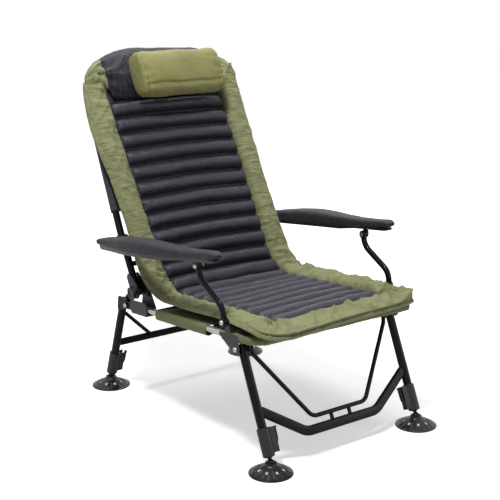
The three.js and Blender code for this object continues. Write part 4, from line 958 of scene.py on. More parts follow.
def place_pillow(u, v):
    """World points of the pillow, with its long crease, its pinched ends and the piping round them."""
    across = 2 * u - 1
    angle = math.tau * v
    cosine, sine = np.cos(angle), np.sin(angle)
    sharp = np.where(sine > 0, 2 / 2.7, 2 / 2.15)
    up_share = signed_power(sine, sharp)
    ahead_share = signed_power(cosine, sharp)
    x = PILLOW_HALF_WIDTH * np.sign(across) * (1 - (1 - np.abs(across)) ** 1.25)
    to_end = PILLOW_HALF_WIDTH - np.abs(x)
    fuller = (1 - PILLOW_END_SHARE) + PILLOW_END_SHARE * quarter_round(to_end / PILLOW_END_REACH)
    size = np.where(
        np.abs(across) > 0.9999, 0.0, fuller * np.clip(to_end / PILLOW_TIP_REACH, 0, 1) ** 0.4,
    )
    rise = PILLOW_HALF_HEIGHT * up_share * size
    out = PILLOW_HALF_DEPTH * ahead_share * size
    front = np.clip(ahead_share, 0, 1)
    by_end = bump(to_end, 0.022, 0.030)
    crease_up = PILLOW_CREASE_UP + 0.004 * ruffle(x / 0.09, 0.5, 67)
    crease = -PILLOW_CREASE_DEPTH * front * bump(rise, crease_up, 0.009) * smoothstep(to_end / 0.02)
    rays = folds(sine * 3.4 + x / 0.16, cosine * 2.2 + x / 0.06, 61) - 0.30
    at_end = smoothstep(1 - to_end / 0.045) * front
    pinches = sum(depth * bump(rise, middle, reach) for depth, middle, reach in PILLOW_PINCHES)
    puckers = -PILLOW_PINCH * at_end * pinches + PILLOW_PUCKERS * by_end * rays * front
    piping = PILLOW_PIPING * bump(to_end, 0.0125, 0.0045)
    sunk = -PILLOW_SEAM_DEPTH * bump(to_end, 0.0185, 0.006)
    broad = PILLOW_SWELL * ruffle(x / 0.07 + 0.9 * sine, 1.3 * cosine, 63)
    broad = broad + PILLOW_FINE * ruffle(x / 0.02 + 3 * sine, 3 * cosine, 65)
    swell = (crease + puckers + piping + sunk + broad) * size
    length = np.hypot(rise, out) + 1e-6
    rise = rise + swell * rise / length
    out = out + swell * out / length
    return on_back(x + PILLOW_OFFSET, PILLOW_UP + rise, PILLOW_AHEAD + out)


pillow = finish_mesh(
    "pillow_cushion",
    formed(PILLOW_COLUMNS, PILLOW_ROWS, place_pillow, cut=PILLOW_CUT),
    pillow_cloth, "pillow", ("pillow",),
)

# Pieces that stand for rigid solids
SIDES = ("left", "right")
SHARP_ANGLE = math.radians(38)
HARD_ANGLE = math.radians(28)
FLAT_ANGLE = math.radians(1)
RIM_ANGLE = math.radians(60)


def stand_in(node_name, bm):
    """A finished piece that stands for one solid, on its body and in its finish."""
    node = frame["nodes"][node_name]
    slot = node.data.materials[0].name.split(".")[0]
    body = node.parent.name.removeprefix("body:")
    piece = finish_mesh(f"{node_name}_shaped", bm, finishes[slot], body, (node_name,), doubles=2e-6)
    piece.data.set_sharp_from_angle(angle=SHARP_ANGLE)
    even = piece.modifiers.new("even_normals", "WEIGHTED_NORMAL")
    even.keep_sharp = True


def on_both_sides(node_stem, build):
    """The left piece from build, and its mirror image on the right."""
    stand_in(f"{node_stem}_left", build())
    stand_in(f"{node_stem}_right", mirrored(build()))


def together(*parts):
    """Several bmeshes as one."""
    whole = bmesh.new()
    carrier = bpy.data.meshes.new("carrier")
    for part in parts:
        part.to_mesh(carrier)
        part.free()
        whole.from_mesh(carrier)
    bpy.data.meshes.remove(carrier)
    return whole


def placed(axes, *points):
    return [axes @ Vector(point) for point in points]


def lathed(profile, steps, axes=None):
    """A profile of radius and height spun a full turn round Z, then put on the given axes."""
    bm = bmesh.new()
    verts = [bm.verts.new((radius, 0.0, height)) for radius, height in profile]
    edges = [bm.edges.new(pair) for pair in zip(verts, verts[1:])]
    bmesh.ops.spin(
        bm, geom=verts + edges, cent=(0, 0, 0), axis=(0, 0, 1), angle=math.tau, steps=steps, use_merge=True,
    )
    bmesh.ops.remove_doubles(bm, verts=bm.verts, dist=1e-6)
    if axes is not None:
        bmesh.ops.transform(bm, matrix=axes, verts=bm.verts)
    return bm


def rounded(points, radius, steps=3):
    """A profile whose inner corners are rounded off."""
    flat = [(point[0], 0.0, point[1]) for point in points]
    radii = [radius] * (len(flat) - 2)
    return [(point.x, point.z) for point in bent_route(flat, radii, steps)]


def drum(radius, half, edge):
    """The profile of a round piece with softened rims, as far below its middle as above."""
    return rounded([(0, -half), (radius, -half), (radius, half), (0, half)], edge)


def across_at(place):
    """Axes whose third points out to the left, at a place."""
    return Matrix.Translation(place) @ Matrix.Rotation(math.pi / 2, 4, "Y")


def softened(node_name, edge):
    """A merged copy of a solid with its hard edges rounded off."""
    bm = bmesh.new()
    bm.from_mesh(frame["nodes"][node_name].data)
    bmesh.ops.remove_doubles(bm, verts=bm.verts, dist=1e-5)
    bmesh.ops.dissolve_limit(bm, angle_limit=FLAT_ANGLE, verts=bm.verts, edges=bm.edges)
    hard = [item for item in bm.edges if item.is_manifold and item.calc_face_angle() > HARD_ANGLE]
    bmesh.ops.bevel(
        bm, geom=hard, offset=edge, affect="EDGES", segments=2, profile=0.5, material=-1, clamp_overlap=True,
    )
    return bm


# Frame tubes
SEAT_HALF_WIDTH = 0.283
SEAT_LENGTH = 0.602
SEAT_TUBE = 0.0095
SEAT_CORNER = 0.045
CROSS_TUBE = 0.008
SEAT_CROSS_ALONG = 0.500
SEAT_CROSS_HALF = 0.2732
BACK_HALF_WIDTH = 0.280
BACK_BEHIND = 0.016
BACK_TUBE = 0.011
BACK_BOTTOM = -0.008
BACK_TAPER_START = 0.205
BACK_TOP_HALF = 0.255
BACK_TOP_UP = 0.740
BACK_CROSS_UP = 0.092
BACK_CROSS_HALF = 0.2687
BACK_CORNERS = (0.400, 0.150, 0.150, 0.400)
TUBE_BEND_STEPS = 14

seat_square = seat_axes.to_3x3() @ Vector((0, 0, 1))
back_square = back_axes.to_3x3() @ Vector((0, 1, 0))
seat_route = bent_route(placed(
    seat_axes,
    (-SEAT_HALF_WIDTH, SEAT_LENGTH, 0), (-SEAT_HALF_WIDTH, 0, 0),
    (SEAT_HALF_WIDTH, 0, 0), (SEAT_HALF_WIDTH, SEAT_LENGTH, 0),
), SEAT_CORNER, TUBE_BEND_STEPS)
stand_in("seat_frame_tube", swept(seat_route, SEAT_TUBE, SEAT_TUBE, seat_square))
stand_in("seat_cross_tube", swept(placed(
    seat_axes, (-SEAT_CROSS_HALF, SEAT_CROSS_ALONG, 0), (SEAT_CROSS_HALF, SEAT_CROSS_ALONG, 0),
), CROSS_TUBE, CROSS_TUBE, seat_square))
back_route = bent_route(placed(
    back_axes,
    (-BACK_HALF_WIDTH, BACK_BEHIND, BACK_BOTTOM), (-BACK_HALF_WIDTH, BACK_BEHIND, BACK_TAPER_START),
    (-BACK_TOP_HALF, BACK_BEHIND, BACK_TOP_UP), (BACK_TOP_HALF, BACK_BEHIND, BACK_TOP_UP),
    (BACK_HALF_WIDTH, BACK_BEHIND, BACK_TAPER_START), (BACK_HALF_WIDTH, BACK_BEHIND, BACK_BOTTOM),
), BACK_CORNERS, TUBE_BEND_STEPS)
stand_in("back_frame_tube", swept(back_route, BACK_TUBE, BACK_TUBE, back_square))
stand_in("back_cross_tube", swept(placed(
    back_axes, (-BACK_CROSS_HALF, BACK_BEHIND, BACK_CROSS_UP), (BACK_CROSS_HALF, BACK_BEHIND, BACK_CROSS_UP),
), CROSS_TUBE, CROSS_TUBE, back_square))

# Legs
LEG_X = 0.2715
LEG_TUBE = 0.0125
FRONT_LEG_LENGTH = 0.31611
REAR_LEG_LENGTH = 0.30103
REAR_LEG_SET_BACK = 0.0336
LEG_ABOVE_BALL = 0.040
BRACE_TUBE = 0.00625
EAR_X = (0.2565, 0.2838)
EAR_THICKNESS = 0.0027
EAR_EDGE = 0.0007
EAR_DISCS = ((0, 0, 0.012), (REAR_LEG_SET_BACK, 0, 0.013), (REAR_LEG_SET_BACK, -0.030, 0.00625))
RIVET_DOWN = -0.022
RIVET_HEAD = (
    (0.0, 0.0022), (0.0018, 0.0020), (0.0034, 0.0012), (0.0040, 0.0), (0.0040, -0.0008), (0.0, -0.0008),
)
FRONT_TUBE_TOP = 0.011
REAR_TUBE_TOP = 0.002
CROSSBAR_CORNERS = ((LEG_X - 0.009, -0.176), (0.129, -0.264))
CROSSBAR_BEND = 0.060
CROSSBAR_HALVES = (0.0075, 0.014)
BRACE_CORNERS = ((0.244, 0.012), (0.244, -0.020), (0.098, -0.229))
BRACE_BEND = 0.034
LEG_BEND_STEPS = 12
CLIP_X = 0.033
CLIP_TOP = -0.2345
CLIP_BOTTOM = -0.2505
REAR_BAR_HALF = LEG_X - 0.010
REAR_BAR_UP = -0.167
REAR_BAR_HALVES = (0.006, 0.0125)
STAY_TOP = (0.262, -0.0515)
STAY_BOTTOM_X = 0.140
FLAT_BAR_HALVES = (0.004, 0.006)
front_leg_axes = tilted(joint_place("front_legs_fold"), -FRONT_LEG_LEAN)
rear_leg_axes = tilted(joint_place("rear_legs_fold"), REAR_LEG_LEAN)
front_leg_behind = front_leg_axes.to_3x3() @ Vector((0, 1, 0))
rear_leg_behind = rear_leg_axes.to_3x3() @ Vector((0, 1, 0))


def ear_plate(start):
    """A rear leg's flat ear, square to X from a start: the plate round its discs of (behind, up, radius)."""
    bm = bmesh.new()
    for behind, above, radius in EAR_DISCS:
        ring = bmesh.ops.create_circle(bm, segments=32, radius=radius)["verts"]
        turn = Matrix.Translation((start, behind, above)) @ Matrix.Rotation(math.pi / 2, 4, "Y")
        bmesh.ops.transform(bm, matrix=turn, verts=ring)
        copied = bmesh.ops.duplicate(bm, geom=ring)["geom"]
        lifted = [item for item in copied if isinstance(item, bmesh.types.BMVert)]
        bmesh.ops.translate(bm, vec=(EAR_THICKNESS, 0, 0), verts=lifted)
    hull = bmesh.ops.convex_hull(bm, input=bm.verts)
    spare = [item for item in hull["geom_interior"] if isinstance(item, bmesh.types.BMVert)]
    bmesh.ops.delete(bm, geom=spare, context="VERTS")
    loose = [item for item in bm.edges if not item.link_faces]
    bmesh.ops.delete(bm, geom=loose, context="EDGES")
    bmesh.ops.dissolve_limit(bm, angle_limit=FLAT_ANGLE, verts=bm.verts, edges=bm.edges)
    rims = [item for item in bm.edges if item.is_manifold and item.calc_face_angle() > RIM_ANGLE]
    bmesh.ops.bevel(bm, geom=rims, offset=EAR_EDGE, affect="EDGES", segments=2, profile=0.5, material=-1)
    bmesh.ops.transform(bm, matrix=rear_leg_axes, verts=bm.verts)
    return bm


def front_leg_tube():
    return swept(placed(
        front_leg_axes, (LEG_X, 0, FRONT_TUBE_TOP), (LEG_X, 0, LEG_ABOVE_BALL - FRONT_LEG_LENGTH),
    ), LEG_TUBE, LEG_TUBE, sides=40)


def rear_leg_tube():
    """The rear leg's tube, the two ears that hold it and the rivet outside."""
    tube = swept(placed(
        rear_leg_axes, (LEG_X, REAR_LEG_SET_BACK, REAR_TUBE_TOP),
        (LEG_X, REAR_LEG_SET_BACK, LEG_ABOVE_BALL - REAR_LEG_LENGTH),
    ), LEG_TUBE, LEG_TUBE, sides=40)
    ears = [ear_plate(start) for start in EAR_X]
    outside = rear_leg_axes @ Vector((EAR_X[1] + EAR_THICKNESS, REAR_LEG_SET_BACK, RIVET_DOWN))
    return together(tube, *ears, lathed(RIVET_HEAD, 24, across_at(outside)))


def across_legs(corners, radius):
    """A bent route across the front legs, from the corners of one half, each a place out and up."""
    one_side = [(-out, 0, above) for out, above in corners]
    other_side = [(out, 0, above) for out, above in reversed(corners)]
    return bent_route(placed(front_leg_axes, *one_side, *other_side), radius, LEG_BEND_STEPS)


on_both_sides("front_leg_tube", front_leg_tube)
on_both_sides("rear_leg_tube", rear_leg_tube)
crossbar_route = across_legs(CROSSBAR_CORNERS, CROSSBAR_BEND)
stand_in("front_crossbar", swept(crossbar_route, *CROSSBAR_HALVES, front_leg_behind))
brace = swept(across_legs(BRACE_CORNERS, BRACE_BEND), BRACE_TUBE, BRACE_TUBE, front_leg_behind)
clips = [
    swept(placed(front_leg_axes, (x, 0, CLIP_BOTTOM), (x, 0, CLIP_TOP)), *FLAT_BAR_HALVES, front_leg_behind)
    for x in (-CLIP_X, CLIP_X)
]
stand_in("front_brace", together(brace, *clips))
rear_bar = swept(placed(
    rear_leg_axes,
    (-REAR_BAR_HALF, REAR_LEG_SET_BACK, REAR_BAR_UP), (REAR_BAR_HALF, REAR_LEG_SET_BACK, REAR_BAR_UP),
), *REAR_BAR_HALVES, rear_leg_behind)
rear_stays = [
    swept(placed(
        rear_leg_axes, (side * STAY_TOP[0], REAR_LEG_SET_BACK, STAY_TOP[1]),
        (side * STAY_BOTTOM_X, REAR_LEG_SET_BACK, REAR_BAR_UP),
    ), *FLAT_BAR_HALVES, rear_leg_behind)
    for side in (-1, 1)
]
stand_in("rear_crossbar", together(rear_bar, *rear_stays))

# Leg clamps, levers, inner tubes and feet
LEVER_PIN = (-0.026, 0.036)
LEVER_HALF_WIDTH = 0.006
LEVER_HALF_THICKNESS = 0.0019
LEVER_CORNERS = ((-0.0290, 0, 0.038), (-0.0385, 0, 0.058), (-0.0392, 0, 0.088), (-0.0424, 0, 0.0930))
LEVER_BENDS = (0.030, 0.006)
CAM_RADIUS = 0.0062
CAM_HALF = 0.006
PIN_RADIUS = 0.0025
PIN_HALF = 0.0095
BALL_RADIUS = 0.012
INNER_TUBE = 0.010
FOOT_PLEATS = 16
FOOT_HOLES = 8
FOOT_STEPS = 128
FOOT_WALL = 0.0020
FOOT_PLEAT_DEPTH = 0.0022
FOOT_PLEAT_MIDDLE = 0.040
FOOT_PLEAT_REACH = 0.019
FOOT_SLOT_START = 0.0310
FOOT_SLOT_END = 0.0390
FOOT_SLOT_HALF = 0.15
BALL_STEPS = 10
BALL_TOP_ANGLE = 1.09
EXTENSION_PROFILE = (
    (0.0055, 0.0155), (0.0085, 0.0160), (0.0090, 0.0185), (INNER_TUBE, 0.0195), (INNER_TUBE, 0.1895),
    (0.0094, 0.190), (0, 0.190),
)
FOOT_PROFILE = (
    (0.0128, 0.0300), (0.0134, 0.0314), (0.0160, 0.0312), (0.0168, 0.0300), (0.0170, 0.0255),
    (0.0190, 0.0232), (0.0240, 0.0215), (0.0290, 0.0194), (0.0310, 0.0186), (0.0330, 0.0177),
    (0.0350, 0.0168), (0.0370, 0.0159), (0.0390, 0.0149), (0.0410, 0.0140), (0.0450, 0.0116),
    (0.0500, 0.0086), (0.0545, 0.0058), (0.0575, 0.0042), (0.0600, 0.0034), (0.0609, 0.0028),
    (0.0610, 0.0006),
)


def ball_axes(leg_axes, length, set_back):
    return leg_axes @ Matrix.Translation((LEG_X, set_back, -length))


front_ball_axes = ball_axes(front_leg_axes, FRONT_LEG_LENGTH, 0.0)
rear_ball_axes = ball_axes(rear_leg_axes, REAR_LEG_LENGTH, REAR_LEG_SET_BACK)


def clamp_lever(axes):
    """A clamp's cam on its pin, with the bent handle."""
    turn = Matrix.Translation((LEVER_PIN[0], 0, LEVER_PIN[1])) @ Matrix.Rotation(math.pi / 2, 4, "X")
    cam = lathed(drum(CAM_RADIUS, CAM_HALF, 0.001), 28, axes @ turn)
    pin = lathed(drum(PIN_RADIUS, PIN_HALF, 0.0005), 20, axes @ turn)
    handle_route = bent_route(placed(axes, *LEVER_CORNERS), LEVER_BENDS, 6)
    square = axes.to_3x3() @ Vector((1, 0, 0))
    return together(cam, pin, swept(handle_route, LEVER_HALF_THICKNESS, LEVER_HALF_WIDTH, square))


def leg_extension(axes):
    """A leg's inner tube, down to the ball that its foot tilts on."""
    profile = [(0, -BALL_RADIUS)]
    for step in range(1, BALL_STEPS + 1):
        angle = -math.pi / 2 + (math.pi / 2 + BALL_TOP_ANGLE) * step / BALL_STEPS
        profile.append((BALL_RADIUS * math.cos(angle), BALL_RADIUS * math.sin(angle)))
    return lathed([*profile, *EXTENSION_PROFILE], 40, axes)


def mud_foot(place):
    """A pleated dish with slots through it, and a socket for the ball."""
    bm = lathed(FOOT_PROFILE, FOOT_STEPS)
    for vert in bm.verts:
        radius = math.hypot(vert.co.x, vert.co.y)
        angle = math.atan2(vert.co.y, vert.co.x)
        pleat = 0.5 - 0.5 * math.cos(FOOT_PLEATS * angle)
        vert.co.z -= FOOT_PLEAT_DEPTH * pleat * float(bump(radius, FOOT_PLEAT_MIDDLE, FOOT_PLEAT_REACH))
    slots = []
    for face in bm.faces:
        centre = face.calc_center_median()
        radius = math.hypot(centre.x, centre.y)
        turn = (math.atan2(centre.y, centre.x) / math.tau * FOOT_HOLES + 0.25) % 1.0
        if FOOT_SLOT_START < radius < FOOT_SLOT_END and abs(turn - 0.5) < FOOT_SLOT_HALF:
            slots.append(face)
    bmesh.ops.delete(bm, geom=slots, context="FACES")
    bmesh.ops.recalc_face_normals(bm, faces=bm.faces)
    if sum(face.normal.z for face in bm.faces) < 0:
        bmesh.ops.reverse_faces(bm, faces=bm.faces)
    bmesh.ops.solidify(bm, geom=bm.faces, thickness=FOOT_WALL)
    for vert in bm.verts:
        vert.co.z = max(vert.co.z, 0.0)
    bmesh.ops.translate(bm, vec=place, verts=bm.verts)
    return bm


for leg, axes in (("front", front_ball_axes), ("rear", rear_ball_axes)):
    on_both_sides(f"{leg}_clamp_lever", lambda: clamp_lever(axes))
    on_both_sides(f"{leg}_leg_extension", lambda: leg_extension(axes))
    ball = joint_place(f"{leg}_foot_left_tilt")
    on_both_sides(f"{leg}_foot", lambda: mud_foot((ball.x, ball.y, 0.0)))

# Bolts, star knobs and arm supports
BOLT_SHANK = 0.004
BOLT_HEAD = (
    (0.0, 0.0022), (0.0022, 0.0024), (0.0026, 0.0044), (0.0040, 0.0045), (0.0058, 0.0037),
    (0.0069, 0.0020), (0.0072, 0.0006), (0.0072, 0.0), (0.0, 0.0),
)
NUT_RADIUS = 0.0072
NUT_FLAT_SHARE = 0.93
NUT_CHAMFER_SHARE = 0.14
NUT_THICKNESS = 0.0045
THIN_NUT = 0.0012
WASHER = ((0, 0), (0.0075, 0), (0.0075, 0.0009), (0, 0.0009))
WASHER_SUNK = 0.0002
KNOB_LOBES = 6
KNOB_LOBE_SHARE = 0.14
KNOB_LOBE_START = 0.0115
KNOB_LOBE_REACH = 0.010
KNOB_SEAT = 0.0160
STUD_END = 0.015
STUD_START_X = 0.2512
STUD_START_RIM_X = 0.2516
KNOB_RADIUS = 0.0222
KNOB_PROFILE = (
    (0.0, 0.0), (0.0100, 0.0), (0.0110, 0.0008), (0.0112, 0.0036), (0.0190, 0.0042), (0.0216, 0.0054),
    (KNOB_RADIUS, 0.0080), (KNOB_RADIUS, 0.0115), (0.0212, 0.0142), (0.0190, 0.0156), (0.0150, 0.0160),
    (0.0125, 0.0154), (0.0110, 0.0142), (0.0060, 0.0140), (0.0, 0.0141),
)
SUPPORT_BEND = 0.045
SUPPORT_EYE = 0.0125
SUPPORT_EYE_HALF = 0.0074
SUPPORT_HALVES = (0.0075, 0.0095)
SUPPORT_SHARES = ((0, 0), (0.03, 0.29), (0.95, 0.75), (1, 1))


def nut_profile(thickness):
    chamfer = thickness * NUT_CHAMFER_SHARE
    return (
        (0, 0), (NUT_RADIUS * NUT_FLAT_SHARE, 0), (NUT_RADIUS, chamfer), (NUT_RADIUS, thickness - chamfer),
        (NUT_RADIUS * NUT_FLAT_SHARE, thickness), (BOLT_SHANK + 0.0004, thickness), (0, thickness),
    )


def bolt(place, start, end, nut):
    """A bolt across the chair: a button head outside on a washer, and a nut inside."""
    def at(x):
        return across_at((x, place.y, place.z))

    shank = [(0, start), (BOLT_SHANK, start), (BOLT_SHANK, end), (0, end)]
    return together(
        lathed(shank, 24, at(0)),
        lathed(rounded(WASHER, 0.0003, 2), 32, at(end - WASHER_SUNK)),
        lathed(BOLT_HEAD, 32, at(end)),
        lathed(nut_profile(nut), 6, at(start - nut)),
    )


def star_knob():
    """A lobed head on the stud that reaches into the hinge."""
    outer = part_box("recline_knob_left")[1][0]
    place = joint_place("knob_left_turn")
    head = lathed(KNOB_PROFILE, 96)
    for vert in head.verts:
        radius = math.hypot(vert.co.x, vert.co.y)
        lobe = 0.5 - 0.5 * math.cos(KNOB_LOBES * math.atan2(vert.co.y, vert.co.x))
        share = float(smoothstep((radius - KNOB_LOBE_START) / KNOB_LOBE_REACH))
        vert.co.x *= 1 - KNOB_LOBE_SHARE * lobe * share
        vert.co.y *= 1 - KNOB_LOBE_SHARE * lobe * share
    bmesh.ops.transform(head, matrix=across_at((outer - KNOB_SEAT, place.y, place.z)), verts=head.verts)
    stud_end = outer - STUD_END
    stud = [(0, STUD_START_X), (BOLT_SHANK, STUD_START_RIM_X), (BOLT_SHANK, stud_end), (0, stud_end)]
    return together(head, lathed(stud, 24, across_at((0, place.y, place.z))))


def arm_support():
    """The bent bar between the front bracket and the armrest, with an eye at each end."""
    reach, rise = ARM_LINK
    corners = [
        arm_lower + Vector((0, reach * along, rise * above)) for along, above in SUPPORT_SHARES
    ]
    bar = swept(bent_route(corners, SUPPORT_BEND, 12), *SUPPORT_HALVES, sides=40)
    eye = drum(SUPPORT_EYE, SUPPORT_EYE_HALF, 0.0016)
    eyes = [lathed(eye, 40, across_at(corner)) for corner in (corners[0], corners[-1])]
    return together(bar, *eyes)


arm_rear = joint_place("armrest_left_turn")
ARM_LINK = (arm_rear.y - hinge.y, arm_rear.z - hinge.z)
arm_lower = joint_place("support_left_turn")
arm_front = arm_lower + Vector((0, *ARM_LINK))
on_both_sides("arm_support", arm_support)
on_both_sides("recline_knob", star_knob)
for stem, place, start, end, nut in (
    ("front_leg_bolt", joint_place("front_legs_fold"), 0.23745, 0.2958, NUT_THICKNESS),
    ("rear_leg_bolt", joint_place("rear_legs_fold"), 0.2562, 0.2868, NUT_THICKNESS),
    ("arm_lower_bolt", arm_lower, 0.2927, 0.3128, THIN_NUT),
    ("arm_upper_bolt", arm_front, 0.2972, 0.3174, NUT_THICKNESS),
):
    on_both_sides(stem, lambda: bolt(place, start, end, nut))

# Plates, castings and trays keep their solids' shapes, with their edges rounded off
for stem, edge in (
    ("front_bracket", 0.0008), ("hinge_bracket", 0.0008), ("back_bracket", 0.0008), ("lock_disc", 0.0004),
    ("armrest_pivot_block", 0.0010), ("front_leg_clamp", 0.0012), ("rear_leg_clamp", 0.0012),
    ("armrest_tray", 0.0015),
):
    for side in SIDES:
        stand_in(f"{stem}_{side}", softened(f"{stem}_{side}", edge))

# Armrest pads
arm_axes = tilted(arm_front, -ARM_SLOPE)
ARM_INNER_X = 0.2972
ARM_FRONT = -0.118
ARM_REAR = 0.516
ARM_BASE = 0.0256
ARM_PAD_COLUMNS = 48
ARM_PAD_ROWS = 130
ARM_PAD_CUT = (0.16, 0.64)
ARM_PAD_WIDTH = 0.038
ARM_PAD_WIDER = 0.032
ARM_PAD_NARROWER = 0.026
ARM_PAD_WIDEST_SHARE = 0.62
ARM_PAD_REAR_SHARE = 0.38
ARM_PAD_END_REACH = 0.022
ARM_PAD_SHARP = 0.62
ARM_PAD_MIDDLE_SHARE = 0.42
ARM_PAD_DENTS = 0.0006
ARM_PAD_FINE = 0.0002
ARM_PAD_RIDGE = 0.0008
ARM_PAD_TOP_LINE = (
    (-0.118, 0.043), (-0.095, 0.0485), (-0.030, 0.0475), (0.030, 0.0480), (0.104, 0.0525), (0.166, 0.0575),
    (0.245, 0.0615), (0.326, 0.0595), (0.408, 0.0535), (0.480, 0.0450), (0.516, 0.0400),
)
ARM_PAD_SKIRT_LINE = (
    (-0.118, 0.0290), (-0.080, 0.0235), (0.020, 0.0195), (0.110, 0.0165), (0.220, 0.0145), (0.300, 0.0145),
    (0.360, 0.0165), (0.430, 0.0205), (0.480, 0.0235), (0.516, 0.0256),
)


def place_arm_pad(u, v):
    """World points of the left armrest's pad: humped in its middle, with a skirt that hangs over the tray."""
    angle = math.tau * u
    along = ARM_FRONT + (ARM_REAR - ARM_FRONT) * (1 - np.cos(np.pi * v)) / 2
    share = (along - ARM_FRONT) / (ARM_REAR - ARM_FRONT)
    narrowing = smoothstep((share - ARM_PAD_WIDEST_SHARE) / ARM_PAD_REAR_SHARE)
    widening = smoothstep(share / ARM_PAD_WIDEST_SHARE)
    width = ARM_PAD_WIDTH + ARM_PAD_WIDER * widening - ARM_PAD_NARROWER * narrowing
    end = quarter_round(np.minimum(along - ARM_FRONT, ARM_REAR - along) / ARM_PAD_END_REACH)
    top = level_at(along, *ARM_PAD_TOP_LINE)
    skirt = level_at(along, *ARM_PAD_SKIRT_LINE)
    sine, cosine = np.sin(angle), np.cos(angle)
    side = signed_power(cosine, ARM_PAD_SHARP)
    above = np.where(sine > 0, np.abs(sine) ** ARM_PAD_SHARP, -np.abs(sine) ** 0.5)
    middle = top - ARM_PAD_MIDDLE_SHARE * (top - skirt)
    half = width / 2 * (0.12 + 0.88 * end)
    centre = ARM_INNER_X + width / 2
    x = centre + side * half
    crown = middle + (top - middle) * above * (0.25 + 0.75 * end)
    base = np.maximum(np.where(np.abs(side) > 0.80, skirt, ARM_BASE), skirt)
    low = middle + (middle - base) * above * (0.25 + 0.75 * end)
    z = np.where(above > 0, crown, low)
    dent = ARM_PAD_DENTS * ruffle(along / 0.05, angle * 1.2, 71)
    dent = dent + ARM_PAD_FINE * ruffle(along / 0.012, angle * 5, 73)
    ridge = ARM_PAD_RIDGE * bump(above, 0.30, 0.10) * np.where(side > 0, 1.0, 0.6)
    x = x + np.sign(side) * (ridge * np.abs(side) + dent * np.abs(side))
    z = z + dent * above
    axes = np.array(arm_axes)
    return tuple(axes[i, 1] * along + axes[i, 2] * z + (x if i == 0 else axes[i, 3]) for i in range(3))


for side in SIDES:
    pad_bm = for_side(side, formed(ARM_PAD_COLUMNS, ARM_PAD_ROWS, place_arm_pad, cut=ARM_PAD_CUT))
    arm_pad = finish_mesh(
        f"armrest_cushion_{side}", pad_bm, arm_foam, f"armrest_{side}", (f"armrest_pad_{side}",),
    )

# Slings: cloth drawn tight between the tubes, sleeved round them and hemmed
SLING_WALL = 0.0011
SLEEVE_GAP = 0.0010
SLEEVE_TURNS = 12
SLING_PULLS = 0.0010
SLING_FINE = 0.0006
SLING_LOOSE = 0.0022


def sleeve_section(half, tube, drop):
    """Half of a sling's section from its middle out: over the tube, down its outside and back underneath."""
    wrap = tube + SLEEVE_GAP
    points = [
        (0.0, wrap - 0.0105), (half * 0.5, wrap - 0.0095), (half * 0.8, wrap - 0.0065),
        (half - wrap * 2.2, wrap - 0.0030),
    ]
    for step in range(SLEEVE_TURNS + 1):
        angle = math.pi * (0.56 - 0.62 * step / SLEEVE_TURNS)
        points.append((half + wrap * math.cos(angle), wrap * math.sin(angle)))
    low = -wrap - drop
    points += [
        (half + wrap * 0.92, low * 0.62), (half + wrap * 0.55, low * 0.90), (half, low),
        (half - wrap * 0.9, low * 0.88), (half - wrap * 2.0, low * 0.55), (half - wrap * 3.0, low * 0.25),
    ]
    return np.array(points)


def place_sling(axes, section, start, end, sag, scale_at):
    """A function that places a sling between two ends, and the length of its half section."""
    lengths = lengths_along(section)
    total = lengths[-1]

    def place(u, v):
        along_section = np.abs(2 * u - 1) * total
        side = np.where(u < 0.5, -1.0, 1.0)
        across = np.interp(along_section, lengths, section[:, 0])
        above = np.interp(along_section, lengths, section[:, 1])
        run = start + (end - start) * v
        middle = np.clip(1 - (across / section[:, 0].max()) ** 2, 0, 1)
        pull = SLING_PULLS * ruffle(run / 0.03, across / 0.08, 81)
        pull = pull + SLING_FINE * ruffle(run / 0.009, side * 2.0, 83)
        by_end = smoothstep(1 - np.minimum(v, 1 - v) / 0.05)
        loose = SLING_LOOSE * by_end * ruffle(across / 0.03, v * 3, 85) * middle
        height = above - sag * middle * (1 - (2 * v - 1) ** 2) + pull * (0.4 + middle) + loose
        return axes(side * across * scale_at(run), run, height)

    return place, total


def on_back_tubes(x, up_the_back, height):
    return on_back(x, up_the_back, height - BACK_BEHIND)


def back_half_at(up_the_back):
    share = np.clip((up_the_back - BACK_TAPER_START) / (BACK_TOP_UP - BACK_TAPER_START), 0, 1)
    return (BACK_HALF_WIDTH - (BACK_HALF_WIDTH - BACK_TOP_HALF) * share) / BACK_HALF_WIDTH


def add_wall(piece):
    """Gives a sheet of cloth its thickness."""
    wall = piece.modifiers.new("cloth_wall", "SOLIDIFY")
    wall.thickness = SLING_WALL
    wall.offset = 0.0


def sling(name, axes, half, tube, drop, start, end, sag, scale_at, finish, body, node):
    """A sleeved sheet between the sides of a frame tube."""
    place, half_cut = place_sling(axes, sleeve_section(half, tube, drop), start, end, sag, scale_at)
    cut = (2 * half_cut, end - start)
    piece = finish_mesh(name, formed(180, 60, place, cut=cut), finish, body, (node,))
    add_wall(piece)


SEAT_SLING_START = 0.226
SEAT_SLING_END = 0.486
BACK_SLING_START = 0.262
BACK_SLING_END = 0.590
sling(
    "seat_sling_cloth", from_side, SEAT_HALF_WIDTH, SEAT_TUBE, 0.010, SEAT_SLING_START, SEAT_SLING_END,
    0.004, lambda run: 1.0, sling_cloth, "seat", "seat_sling",
)
sling(
    "back_sling_cloth", on_back_tubes, BACK_HALF_WIDTH, BACK_TUBE, 0.003, BACK_SLING_START, BACK_SLING_END,
    0.003, back_half_at, back_sling_cloth, "backrest", "back_sling",
)

APRON_HALF = 0.262
APRON_TURNS = 18


